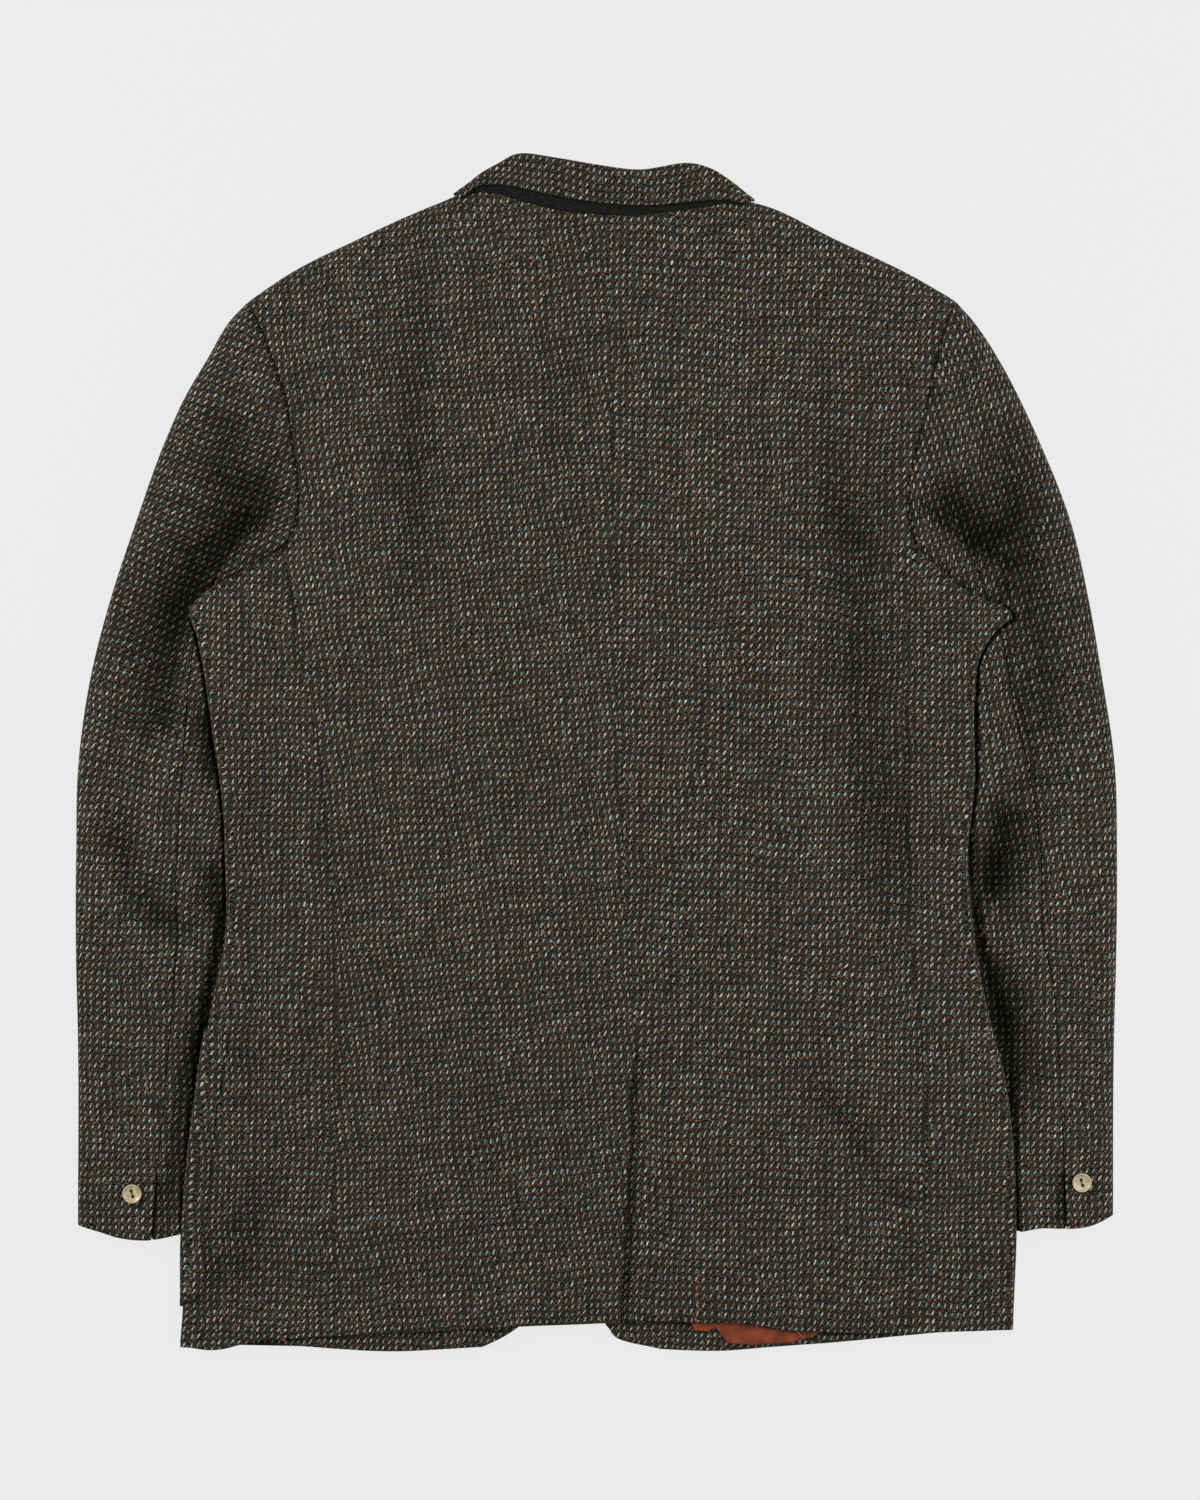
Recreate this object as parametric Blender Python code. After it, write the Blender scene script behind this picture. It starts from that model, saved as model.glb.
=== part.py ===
"""Tweed hacking jacket lying flat on its fronts, back up, collar towards +Y.

Every cut piece is its own closed sheet of cloth. Sizes and tables are in millimetres, seen from
above with the middle of the laid jacket at x = 0, y = 0 and the surface it lies on at z = 0.
The wearer's left is at -x. The meshes are written in metres.
"""

from collections import namedtuple
from math import pi

import bpy
import numpy as np

MM = 0.001

# Walls and clearances
CLOTH = 2.0  # tweed with its canvas or lining
POCKET_CLOTH = 1.6
COLLAR_CLOTH = 2.0
FELT = 1.5
LINING = 1.0
SEAM_GAP = 0.3  # between the cut edges of two pieces
LAY_GAP = 0.5  # between one layer and the one it lies on

# Heights of the laid jacket
SHOULDER_MID = 12.0  # height of the fold along each shoulder
SHOULDER_ROUND = 12.0  # how far in from the shoulder fold the cloth turns
EDGE_ROUND = 6.5  # the same at the side edges
SLEEVE_TUCKED = 7.3  # thickness of a sleeve under the body
SLEEVE_PUFF = 6.2  # what it rises to beside the body, above that
SLEEVE_SPREAD = 28.0  # over this distance from the body's edge
OVER_SLEEVE = SLEEVE_TUCKED + LAY_GAP
SLEEVE_IN = 207.0  # the body stands on the sleeves outside this distance from the middle
SLEEVE_RAMP = 44.0
CUFF_LEVEL = -352.0  # and above this level
UNDERARM = 143.0  # level of the corner where side seam and armhole meet
OVER_RAMP = 40.0
SIDE_RISE = 3.5
SIDE_TOP = UNDERARM - 5  # where the side body ends at the armhole

# Rows that all body pieces share, hem and shoulders apart, and the columns of each
LEVELS = (
    -392, -352, -318, -282, -246, -212, -176, -140, -104, -68, -32, 4, 40, 72, 92, 104, 116, 130, 138,
    160, 182, 208, 236,
)
UPPER_ROWS = 3
BACK_COLUMNS, FRONT_COLUMNS = 9, 6
EDGE_STEPS = 5  # round the folded side edge
HEM_LEVEL, SHOULDER_LEVEL = -420.0, 400.0
ARMHOLE_DIP = 5.0
ARMHOLE_DIP_SIZE = 36.0

# Height of the back's outer face along the middle: columns y, z
BACK_HEIGHT = (
    (-420, 15.0), (-330, 17.0), (-200, 19.0), (0, 19.5), (150, 20.0), (250, 22.0), (330, 24.5),
    (395, 25.0),
)

# Seams and outlines from above: columns y, x
CENTRE_BACK = (
    (-208, 27.0), (-138, 22.1), (-33, 17.9), (142, 12.3), (247, 10.9), (355, 7.4), (376, 6.0),
)
VENT_EDGE = ((-400, 16.5), (-306, 22.0), (-224, 25.0), (-212, 27.0))
VENT_UNDERLAP = ((-400, -22.0), (-330, -18.0), (-290, -14.0), (-242, 23.0), (-224, 25.0), (-212, 27.0))
VENT_TOP = -212.0
VENT_STEP = 1.25  # each panel moves this far up or down where they lap
VENT_RAMP = 20.0

SIDE_SEAM = {
    "left": ((-415, -183), (-300, -183), (-103, -184), (0, -193), (60, -205), (107, -214), (143, -218)),
    "right": ((-410, 230), (-306, 230), (-230, 229), (-173, 224), (-120, 218.5), (-40, 216.5), (79, 216),
              (120, 219), (143, 221)),
}
ARMHOLE = {
    "left": ((143, -218), (158, -210.8), (178, -208.2), (196, -209.6), (219, -212.5), (247, -216.7),
             (275, -226), (296, -234), (315.4, -244)),
    "right": ((143, 224), (156, 220.5), (180, 218), (219, 225), (247, 231), (275, 237), (310, 247.5),
              (316.8, 250.3)),
}
# The body's folded edge, up the side, round the underarm and in to the armhole
BODY_EDGE = {
    "left": ((-415, -291), (-389, -290), (-341, -289), (-285, -284.6), (-229, -277.6), (-173, -268.5),
             (-131, -260), (-75, -260), (-33, -262), (9, -268), (51, -274), (79, -279), (103, -283),
             (114.5, -271), (128, -246), (143, -218)),
    "right": ((-410, 292), (-292, 293), (-229, 286), (-173, 272), (-117, 263), (-75, 260), (-19, 265),
              (37, 265), (70, 270), (86, 281), (95, 291), (103, 283), (107, 272), (122, 247),
              (138, 230), (143, 224)),
}
# Seam between side body and front, on the underside
FRONT_SEAM = {
    "left": ((-418, -266), (-300, -258), (-103, -226), (37, -214), (103, -213), (143, -213)),
    "right": ((-418, 266), (-300, 262), (-103, 226), (37, 218), (103, 216), (143, 216)),
}
# Closing edge of each front and the roll of its lapel: columns y, x
FRONT_EDGE = {
    "left": ((-417, -81), (-411, -68), (-402, -54), (-383, -40), (-341, -19), (-278, 10), (-200, 38),
             (-150, 40), (60, 40), (220, -18), (388, -84)),
    "right": ((-418, 45), (-414, 24), (-403, 8), (-383, 3), (-330, 0), (60, 0), (220, 46), (386, 99)),
}

# Hems and the top line: columns x, y
BACK_HEM = {
    "left": ((-291, -415), (-250, -413.4), (-219, -410.6), (-138, -406.4), (-55, -402), (17, -398.7)),
    "right": ((-22, -398), (16, -398), (72, -398.7), (115, -398.7), (161, -405), (198, -407),
              (247, -405.7), (292, -404.3)),
}
FRONT_HEM = {
    "left": ((-291, -415), (-271, -417), (-222, -415), (-194, -417), (-138, -419.6), (-110, -418.3),
             (-81, -416.5)),
    "right": ((45, -418.3), (58, -419), (87, -419.6), (115, -417.6), (170, -413.4), (226, -407.8),
              (247, -405.7), (292, -404.3)),
}
SHOULDER = ((-244, 315.4), (-218, 333.2), (-168, 358.8), (-112, 384), (-88.6, 392.4))
SHOULDER_RIGHT = ((104, 386), (114, 384), (168, 358.8), (221, 333.6), (250.3, 316.8))
NECK = ((-67.6, 389.6), (-46.6, 383.3), (-25.6, 378.4), (2.5, 374.9), (30.5, 374.9), (58.5, 377.7),
        (79.5, 381.9), (97, 384.7))
NECK_CORNER_LEFT, NECK_CORNER_RIGHT = -88.6, 101.0
NECK_TURN = 10.0  # the shoulder's fold fades out over this distance at the neck

# Sleeves: each curve is a list of x, y points, from the armhole to the cuff or from outside to inside
SLEEVE_OUTER = {
    "left": ((-244, 315.4), (-256, 303), (-273, 275), (-289.5, 247), (-302, 219), (-322.4, 163),
             (-341, 107), (-355, 51), (-363, -5), (-365, -75), (-365, -145), (-363.7, -200),
             (-363.7, -331)),
    "right": ((250.3, 316.8), (263, 303), (282, 275), (297, 247), (310, 219), (332, 163), (345, 107),
              (354.6, 51), (363, -5), (365, -75), (364.4, -145), (363, -200), (362.3, -324)),
}
SLEEVE_INNER = {
    "left": ((-212, 163), (-221, 144), (-226, 115), (-221, 50), (-215, -60), (-214, -200), (-222, -329)),
    "right": ((221.3, 163), (227, 144), (231, 115), (224, 50), (217, -60), (214, -200), (214, -322)),
}
SLEEVE_CUFF = {
    "left": ((-363.7, -331), (-348, -335.7), (-334, -340), (-311, -341.3), (-289.5, -337), (-222, -329)),
    "right": ((362.3, -324), (346, -331.5), (328.7, -333.5), (310, -333), (293, -335.7), (214, -322)),
}
# Hindarm seam on the upper side: columns y, x
ELBOW_SEAM = {
    "left": ((-341, -311.2), (-296, -307.7), (-236, -302), (-145, -294.4), (-89, -293.7), (9, -288),
             (51, -284.6), (107, -274), (156, -249.6), (194, -232), (222, -213)),
    "right": ((-334, 328.7), (-292, 327.3), (-201, 322.4), (-159, 318.9), (-135, 313.3), (-75, 311),
              (-17, 303.5), (23, 293.7), (67, 286), (114, 272), (177, 244), (206, 223)),
}
FOREARM_SHARE = 0.42  # the other sleeve seam, on the underside, as a share of the width from inside
ARMHOLE_GAP = 1.2
ARMHOLE_BLEND = 90.0  # the sleeve leaves the back's height over this distance
ARMHOLE_CLEAR = 8.0
CEILING_SLOPE = (1.3, 1.2)  # rise of the clear space beside the body and above the underarm
UNDERARM_LOOK = (0.0, 18.0, 36.0)  # the body's edge slopes there, so it is looked for lower down too

# Largest folds of the upper side: a soft trough (depth < 0) or ridge along a line
Fold = namedtuple("Fold", "x0 y0 x1 y1 width depth")
BODY_FOLDS = (
    Fold(-130, 300, -128, 190, 26, -2.6),
    Fold(-30, 320, -24, 245, 22, -1.6),
    Fold(170, 190, 184, 36, 22, -3.4),
    Fold(184, 36, 206, -150, 24, -3.2),
    Fold(142, 200, 190, 50, 20, 1.8),
    Fold(136, -230, 212, -312, 18, -2.4),
    Fold(-250, -372, -170, -388, 20, -1.8),
    Fold(206, -318, 284, -318, 9, -1.5),
    Fold(40, 60, 56, -120, 30, 1.2),
    Fold(-90, 40, -70, -160, 30, 1.2),
)
SLEEVE_FOLDS = {
    "left": (
        Fold(-240, 182, -243, 160, 12, -3.0),
        Fold(-246, 165, -300, 80, 22, -2.6),
        Fold(-342, -66, -272, -150, 17, -4.0),
        Fold(-330, -78, -282, -96, 12, 2.4),
        Fold(-300, 120, -330, 20, 20, 1.6),
        Fold(-330, -190, -300, -300, 20, -1.4),
    ),
    "right": (
        Fold(254, 156, 282, 106, 16, -3.6),
        Fold(282, -48, 268, -104, 14, -3.0),
        Fold(272, -146, 296, -216, 14, -3.0),
        Fold(296, -104, 284, -138, 10, 2.6),
        Fold(284, -138, 310, -200, 12, 2.4),
        Fold(320, 120, 342, 20, 20, 1.6),
        Fold(340, -190, 334, -290, 18, -1.4),
    ),
}

# Patch pockets
POCKET_TOP, POCKET_FOOT = -194.0, -389.0
POCKET_WIDTH = 172.0
POCKET_START = {"left": 19.0, "right": -24.0}  # distance round the edge: + on top, - below
POCKET_CORNER = 26.0
POCKET_GAP = 0.65
POCKET_LIFT = POCKET_CLOTH + POCKET_GAP + LAY_GAP
POCKET_RAMP = 30.0
POCKET_MARGIN = 36.0  # the lift is level this far past the pocket's forward edge
POCKET_BELOW, POCKET_ABOVE = 30.0, 22.0  # and this far past its foot and mouth

# Lapels and closing edge, all on the underside
LAPEL_FOOT = {"left": 60.0, "right": 128.0}
LAPEL_HEAD = 372.0
LAPEL_WIDTH = ((0.0, 1.0), (0.15, 22.0), (0.4, 56.0), (0.66, 84.0), (0.72, 78.0), (0.8, 40.0), (1.0, 26.0))
LAPEL_CLOTH = 2.2
LAPEL_LIFT = LAPEL_CLOTH + 1.0
LAPEL_MARGIN = (40.0, 26.0)  # the lift is level this far past the roll line and the outer edge
LAPEL_BELOW, LAPEL_RAMP = 0.06, 0.1  # past its foot, as shares of its length
BUTTON_LEVELS = (10.0, -90.0, -190.0)
BUTTON_LINE = 20.0
FRONT_BUTTON_DIAMETER, FRONT_BUTTON_HEIGHT = 20.0, 3.0
STAND_LIFT = FRONT_BUTTON_HEIGHT + 0.4
OVERLAP_LIFT = STAND_LIFT + CLOTH + 0.4

# Where the left front lies over its buttons, and the right front over both
Zone = namedtuple("Zone", "low_x high_x low_y high_y ramp_x ramp_y")
STAND = Zone(2, 60, -214, LAPEL_FOOT["left"], 30, 40)
OVERLAP = Zone(-99, 48, -316, LAPEL_FOOT["right"] + 6, 34, 34)

# Collar, from the left end to the right: neck seam, edge of the fall and folded top, as x and y
CollarStation = namedtuple("CollarStation", "neck_x neck_y fall_x fall_y fold_x fold_y turn")
COLLAR = (
    CollarStation(-94, 392.6, -98, 392.6, -102, 394.5, 3.0),
    CollarStation(-84, 392.0, -84, 396.5, -84, 404, 3.8),
    CollarStation(-68, 389.9, -69, 397.5, -69, 412.5, 4.4),
    CollarStation(-47, 383.6, -52, 395, -53, 419.7, 4.6),
    CollarStation(-25, 378.6, -26, 389.6, -26, 416.4, 4.6),
    CollarStation(2.5, 375.2, 2.5, 385.4, 2.5, 411.6, 4.6),
    CollarStation(30.5, 375.2, 30.5, 383.3, 30.5, 408.5, 4.6),
    CollarStation(58, 378, 58.5, 384.9, 61, 413, 4.6),
    CollarStation(78, 381.9, 78, 387.5, 79, 409.5, 4.4),
    CollarStation(91, 384.2, 92, 389, 94, 400.5, 3.8),
    CollarStation(101, 387.6, 105, 388.5, 109, 391, 3.0),
)
FALL_GAP = 1.9  # between the felt and the edge of the fall
COLLAR_RISE = 6.4  # middle of the folded top above the neck seam

# Torn lining below the right back hem: columns x, y of its lower edge
LINING_EDGE = ((66, -399), (69, -405), (79, -405.5), (83, -402), (92, -414), (110, -415.5), (136, -413.5),
               (150, -410), (161, -404))
LINING_TOP, LINING_LEVEL, LINING_DROP = -368.0, 7.4, 1.6
LINING_DROP_FROM, LINING_DROP_RAMP = -388.0, 20.0

CUFF_BUTTON = {"left": (-324.5, -308.4), "right": (339.2, -300.7)}
CUFF_BUTTON_DIAMETER, CUFF_BUTTON_HEIGHT = 14.6, 3.4
HOLE_DIAMETER, HOLE_SPACING = 1.9, 4.2
HOLE_DIRECTION = (0.6, 0.8)
BUTTON_CLEAR = 0.35

COLOURS = {
    "tweed": ((0.052, 0.047, 0.040, 1), 0.95),
    "felt": ((0.016, 0.017, 0.019, 1), 0.95),
    "lining": ((0.42, 0.085, 0.025, 1), 0.55),
    "horn": ((0.56, 0.46, 0.32, 1), 0.32),
}


def clear_scene():
    for thing in list(bpy.data.objects):
        bpy.data.objects.remove(thing, do_unlink=True)


def material(kind, name):
    colour, roughness = COLOURS[kind]
    made = bpy.data.materials.new(name)
    made.use_nodes = True
    surface = made.node_tree.nodes["Principled BSDF"]
    surface.inputs["Base Color"].default_value = colour
    surface.inputs["Roughness"].default_value = roughness
    surface.inputs["Metallic"].default_value = 0.0
    return made


def smooth(table, at):
    """The table's second column at places along its first, on a smooth curve through the rows."""
    rows = np.array(table, float)
    rows = rows[np.argsort(rows[:, 0], kind="stable")]
    place, value = rows[:, 0], rows[:, 1]
    slope = np.gradient(value, place)
    at = np.clip(at, place[0], place[-1])
    i = np.clip(np.searchsorted(place, at) - 1, 0, len(place) - 2)
    span = place[i + 1] - place[i]
    t = (at - place[i]) / span
    start = value[i] * (1 + 2 * t) + slope[i] * span * t
    end = value[i + 1] * (3 - 2 * t) + slope[i + 1] * span * (t - 1)
    return start * (1 - t) ** 2 + end * t**2


def along(points, share):
    """x and y at a share of the length of a smooth path through the points."""
    points = np.array(points, float)
    run = np.concatenate([[0], np.cumsum(np.hypot(*np.diff(points, axis=0).T))])
    run /= run[-1]
    return (
        smooth(np.column_stack([run, points[:, 0]]), share),
        smooth(np.column_stack([run, points[:, 1]]), share),
    )


def soft_step(value):
    t = np.clip(value, 0, 1)
    return t * t * (3 - 2 * t)


def straight_between(value, low, high, ramp):
    """1 from low to high, falling evenly to 0 over the ramp outside."""
    return np.clip((value - low) / ramp + 1, 0, 1) * np.clip((high - value) / ramp + 1, 0, 1)


def between(value, low, high, ramp):
    """1 from low to high, falling softly to 0 over the ramp outside."""
    return soft_step((value - low) / ramp + 1) * soft_step((high - value) / ramp + 1)


def folds_at(folds, x, y):
    """Height that the folds add: each a bell-shaped ridge or trough along its line."""
    total = np.zeros(np.broadcast(x, y).shape)
    for fold in folds:
        dx, dy = fold.x1 - fold.x0, fold.y1 - fold.y0
        share = ((x - fold.x0) * dx + (y - fold.y0) * dy) / (dx * dx + dy * dy)
        share = np.clip(share, 0, 1)
        away = np.hypot(x - fold.x0 - share * dx, y - fold.y0 - share * dy)
        total += fold.depth * np.exp(-((away / fold.width) ** 2))
    return total


def side_of(side):
    return -1 if side == "left" else 1


def body_outline(side, y):
    """x of the body's outer limit from above: its folded edge, then the armhole."""
    return np.where(y < UNDERARM, smooth(BODY_EDGE[side], y), smooth(ARMHOLE[side], y))


def top_line(x):
    """y of the shoulders and of the neck seam between them."""
    return smooth(SHOULDER + NECK + SHOULDER_RIGHT, x)


def over_sleeves(x, y):
    """1 where the body lies on a tucked sleeve."""
    return straight_between(np.abs(x), SLEEVE_IN, 999, SLEEVE_RAMP) * straight_between(
        y, CUFF_LEVEL, UNDERARM, OVER_RAMP
    )


def shoulder_turn(x, y):
    """0 at the shoulder's folded line, 1 a little way inside, and 1 at the open neck."""
    inside = np.clip((top_line(x) - y) / SHOULDER_ROUND, 0, 1)
    turned = np.sqrt(1 - (1 - inside) ** 2)
    neck = between(x, NECK_CORNER_LEFT + NECK_TURN, NECK_CORNER_RIGHT - NECK_TURN, NECK_TURN)
    return turned + (1 - turned) * neck


def back_height(x, y):
    """Outer face of the upper layer."""
    height = smooth(BACK_HEIGHT, y) + SIDE_RISE * over_sleeves(x, y)
    for side in ("left", "right"):
        corner_y, corner_x = ARMHOLE[side][1]
        away = np.hypot(x - corner_x, y - corner_y)
        height = height - ARMHOLE_DIP * np.exp(-((away / ARMHOLE_DIP_SIZE) ** 2))
    height = height + folds_at(BODY_FOLDS, x, y)
    return SHOULDER_MID + (height - SHOULDER_MID) * shoulder_turn(x, y)


def lapel_line(side):
    """Foot and head of the roll line, and its unit directions along and out from the middle."""
    foot = np.array([smooth(FRONT_EDGE[side], LAPEL_FOOT[side]), LAPEL_FOOT[side]])
    head = np.array([smooth(FRONT_EDGE[side], LAPEL_HEAD), LAPEL_HEAD])
    length = np.hypot(*(head - foot))
    ahead = (head - foot) / length
    out = np.array([ahead[1], -ahead[0]]) * side_of(side)
    return foot, ahead, out, length


def lapel_lift(side, x, y):
    """1 over the lapel, falling to 0 beside it."""
    foot, ahead, out, length = lapel_line(side)
    share = ((x - foot[0]) * ahead[0] + (y - foot[1]) * ahead[1]) / length
    away = (x - foot[0]) * out[0] + (y - foot[1]) * out[1]
    width = smooth(LAPEL_WIDTH, np.clip(share, 0, 1))
    beside = between(away, -LAPEL_MARGIN[0], width + LAPEL_MARGIN[1], POCKET_RAMP)
    return beside * between(share, -LAPEL_BELOW, 2, LAPEL_RAMP)


def pocket_lift(side, x, y):
    """1 over the pocket, falling to 0 beside it."""
    reach = POCKET_WIDTH - POCKET_START[side] + POCKET_MARGIN
    inner = np.abs(smooth(BODY_EDGE[side], y)) - reach
    return between(np.abs(x), inner, 999, POCKET_RAMP) * between(
        y, POCKET_FOOT - POCKET_BELOW, POCKET_TOP + POCKET_ABOVE, POCKET_RAMP
    )


def inside_zone(zone, x, y):
    """1 in the zone, falling softly to 0 beside it."""
    across = between(x, zone.low_x, zone.high_x, zone.ramp_x)
    return across * between(y, zone.low_y, zone.high_y, zone.ramp_y)


def front_height(side, x, y):
    """Lower, outer face of the under layer: flat on the surface but for what lies beneath it."""
    tucked = OVER_SLEEVE * over_sleeves(x, y)
    pocket = POCKET_LIFT * pocket_lift(side, x, y)
    lapel = LAPEL_LIFT * lapel_lift(side, x, y)
    if side == "left":
        stand = STAND_LIFT * inside_zone(STAND, x, y)
    else:
        stand = OVERLAP_LIFT * inside_zone(OVERLAP, x, y)
    height = np.maximum(tucked, np.maximum(lapel, stand)) + pocket
    return SHOULDER_MID + (height - SHOULDER_MID) * shoulder_turn(x, y)


def rows_from(low, high, turn=0):
    """y of every row of a body piece, hem to top, for columns that start at low and end at high.

    The rows follow the shared levels, so that neighbours meet point to point. Above the last of
    them they spread evenly, and the turn rows crowd towards the shoulder by the sine rule.
    """
    levels = [np.full_like(low, level) for level in LEVELS if level <= high.max()]
    rows = [low] + levels
    if turn:
        base, crown = LEVELS[-1], high - SHOULDER_ROUND
        rows += [base + (crown - base) * share for share in np.linspace(0, 1, UPPER_ROWS + 1)[1:]]
        for step in range(1, turn + 1):
            rows.append(high - SHOULDER_ROUND * (1 - np.sin(step / turn * pi / 2)))
    return np.array(rows)


def moved_out(grid, distance):
    """The grid's points moved along its normals, row by column."""
    across = np.gradient(grid, axis=1)
    up = np.gradient(grid, axis=0)
    normal = np.cross(across, up)
    normal /= np.linalg.norm(normal, axis=2, keepdims=True)
    return grid + normal * distance


def sheet(name, grid, wall, kind, flip=False):
    """A closed sheet of cloth whose outer face passes through the grid (rows, columns, xyz)."""
    if flip:
        grid = grid[:, ::-1]
    rows, columns = grid.shape[:2]
    corner = np.arange(rows * columns).reshape(rows, columns)
    faces = np.stack(
        [corner[:-1, :-1], corner[:-1, 1:], corner[1:, 1:], corner[1:, :-1]], axis=-1
    ).reshape(-1, 4)
    mesh = bpy.data.meshes.new(name)
    mesh.from_pydata((grid.reshape(-1, 3) * MM).tolist(), [], faces.tolist())
    mesh.shade_smooth()
    made = bpy.data.objects.new(name, mesh)
    bpy.context.collection.objects.link(made)
    mesh.materials.append(material(kind, name))
    thicken = made.modifiers.new("wall", "SOLIDIFY")
    thicken.thickness = wall * MM
    thicken.offset = -1
    return made


def back(side):
    """One half of the back, from the centre seam and vent to the side seam and armhole."""
    sign = side_of(side)
    vent = VENT_EDGE if side == "left" else VENT_UNDERLAP
    share = np.linspace(0, 1, BACK_COLUMNS + 1)

    def across(y):
        inner = np.where(y < VENT_TOP, smooth(vent, y), smooth(CENTRE_BACK, y)) + sign * SEAM_GAP / 2
        outer = np.where(y < UNDERARM, smooth(SIDE_SEAM[side], y), smooth(ARMHOLE[side], y))
        return inner + share * (outer - sign * SEAM_GAP / 2 - inner)

    low = smooth(BACK_HEM[side], across(np.array(HEM_LEVEL)))
    high = top_line(across(np.array(SHOULDER_LEVEL)))
    y = rows_from(low, high, turn=4)
    x = across(y)
    z = back_height(x, y)
    lapped = soft_step((VENT_TOP - y) / VENT_RAMP + 1)
    if side == "left":
        z += VENT_STEP * lapped * between(x, -12, 99, 40)
    else:
        z -= VENT_STEP * lapped * between(x, -99, 30, 26)
    return sheet("back_" + side, np.stack([x, y, z], axis=-1), CLOTH, "tweed", flip=side == "left")


def body_edge_point(side, reach, y):
    """The body's surface at a distance round its folded edge: + over the top, - underneath."""
    sign = side_of(side)
    edge = body_outline(side, y)
    turn = EDGE_ROUND * pi / 2
    shoulder = edge - sign * EDGE_ROUND
    upper, lower = back_height(shoulder, y), front_height(side, shoulder, y)
    middle, half = (upper + lower) / 2, (upper - lower) / 2
    angle = np.clip(reach / EDGE_ROUND, -pi / 2, pi / 2)
    beyond = np.maximum(np.abs(reach) - turn, 0)
    x = edge - sign * (EDGE_ROUND * (1 - np.cos(angle)) + beyond)
    flat = np.where(reach > 0, back_height(x, y), front_height(side, x, y))
    z = np.where(np.abs(reach) > turn, flat, middle + half * np.sin(angle))
    return np.stack([x, y, z], axis=-1)


def reach_to(side, x, y):
    """Distance from the middle of the folded edge to a place x on the flat."""
    return np.abs(body_outline(side, y) - x) - EDGE_ROUND + EDGE_ROUND * pi / 2


def side_body(side):
    """The underarm panel, from the side seam round the folded edge to the front seam."""
    turn = EDGE_ROUND * pi / 2
    parts = np.concatenate([
        np.linspace(3, 2, 5)[:-1], np.linspace(2, 1, EDGE_STEPS + 1)[:-1], np.linspace(1, 0, 3),
    ])
    hem_y = [
        smooth(BACK_HEM[side], SIDE_SEAM[side][0][1]),
        smooth(BACK_HEM[side], BODY_EDGE[side][0][1]),
        smooth(FRONT_HEM[side], FRONT_SEAM[side][0][1]),
    ]
    low = np.interp(3 - parts, [0, 1.5, 3], hem_y)
    y = rows_from(low, np.full_like(low, SIDE_TOP))
    back_reach = reach_to(side, smooth(SIDE_SEAM[side], y), y) - SEAM_GAP / 2
    front_reach = reach_to(side, smooth(FRONT_SEAM[side], y), y) - SEAM_GAP / 2
    back_reach = np.maximum(back_reach, turn + 0.5)
    front_reach = np.maximum(front_reach, turn + 0.5)
    reach = np.select(
        [parts >= 2, parts > 1],
        [turn + (parts - 2) * (back_reach - turn), (parts - 1.5) * 2 * turn],
        -turn - (1 - parts) * (front_reach - turn),
    )
    return sheet("side_" + side, body_edge_point(side, reach, y), CLOTH, "tweed", flip=side == "left")


def front(side):
    """One front, underneath: from its closing edge and roll line to the side body and armhole."""
    sign = side_of(side)
    share = np.linspace(0, 1, FRONT_COLUMNS + 1)

    def across(y):
        inner = smooth(FRONT_EDGE[side], y)
        outer = np.where(y < UNDERARM, smooth(FRONT_SEAM[side], y), smooth(ARMHOLE[side], y))
        ramp = sign * (SLEEVE_IN - SLEEVE_RAMP)
        ends = (outer - sign * SEAM_GAP / 2, sign * (SLEEVE_IN - 0.2) + 0 * y)
        return np.concatenate(
            [inner + share * (ramp - inner), *(np.atleast_1d(end) for end in reversed(ends))], axis=-1
        )

    low = smooth(FRONT_HEM[side], across(np.array([HEM_LEVEL])))
    high = top_line(across(np.array([SHOULDER_LEVEL])))
    rows = rows_from(low, high, turn=3)
    x = np.array([[across(np.array([level]))[k] for k, level in enumerate(row)] for row in rows])
    z = np.minimum(front_height(side, x, rows), SHOULDER_MID - 4 * SEAM_GAP)
    return sheet("front_" + side, np.stack([x, rows, z], axis=-1), CLOTH, "tweed", flip=side == "right")


def lapel(side):
    """The turned-back lapel between front and floor: flat, from the roll line to its outer edge."""
    foot, ahead, out, length = lapel_line(side)
    share = np.array([0.02, 0.15, 0.3, 0.45, 0.6, 0.66, 0.72, 0.8, 0.9, 0.97])[:, None]
    width = smooth(LAPEL_WIDTH, share) * np.linspace(0, 1, 5)
    x = foot[0] + ahead[0] * length * share + out[0] * width
    y = foot[1] + ahead[1] * length * share + out[1] * width
    grid = np.stack([x, y, np.zeros_like(x)], axis=-1)
    return sheet("lapel_" + side, grid, LAPEL_CLOTH, "tweed", flip=side == "right")


def sleeve_plan(side, s, t):
    """x and y inside the laid sleeve: s from outside to inside, t from armhole to cuff.

    A Coons patch: the two ruled surfaces between opposite edges, less the one between corners.
    """
    sign = side_of(side)
    lowest = SLEEVE_INNER[side][0][1]
    armhole = [(x + sign * ARMHOLE_GAP, y) for y, x in reversed(ARMHOLE[side]) if y > lowest]
    armhole.append(SLEEVE_INNER[side][0])
    edges = (
        along(armhole, s), along(SLEEVE_CUFF[side], s), along(SLEEVE_OUTER[side], t),
        along(SLEEVE_INNER[side], t),
    )
    place = []
    for axis in (0, 1):
        head, cuff, outer, inner = (edge[axis] for edge in edges)
        sides = (SLEEVE_OUTER[side], SLEEVE_INNER[side])
        a, b, c, d = (curve[end][axis] for end in (0, -1) for curve in sides)
        ruled = (1 - t) * head + t * cuff + (1 - s) * outer + s * inner
        corners = (1 - t) * ((1 - s) * a + s * b) + t * ((1 - s) * c + s * d)
        place.append(ruled - corners)
    return place


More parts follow.
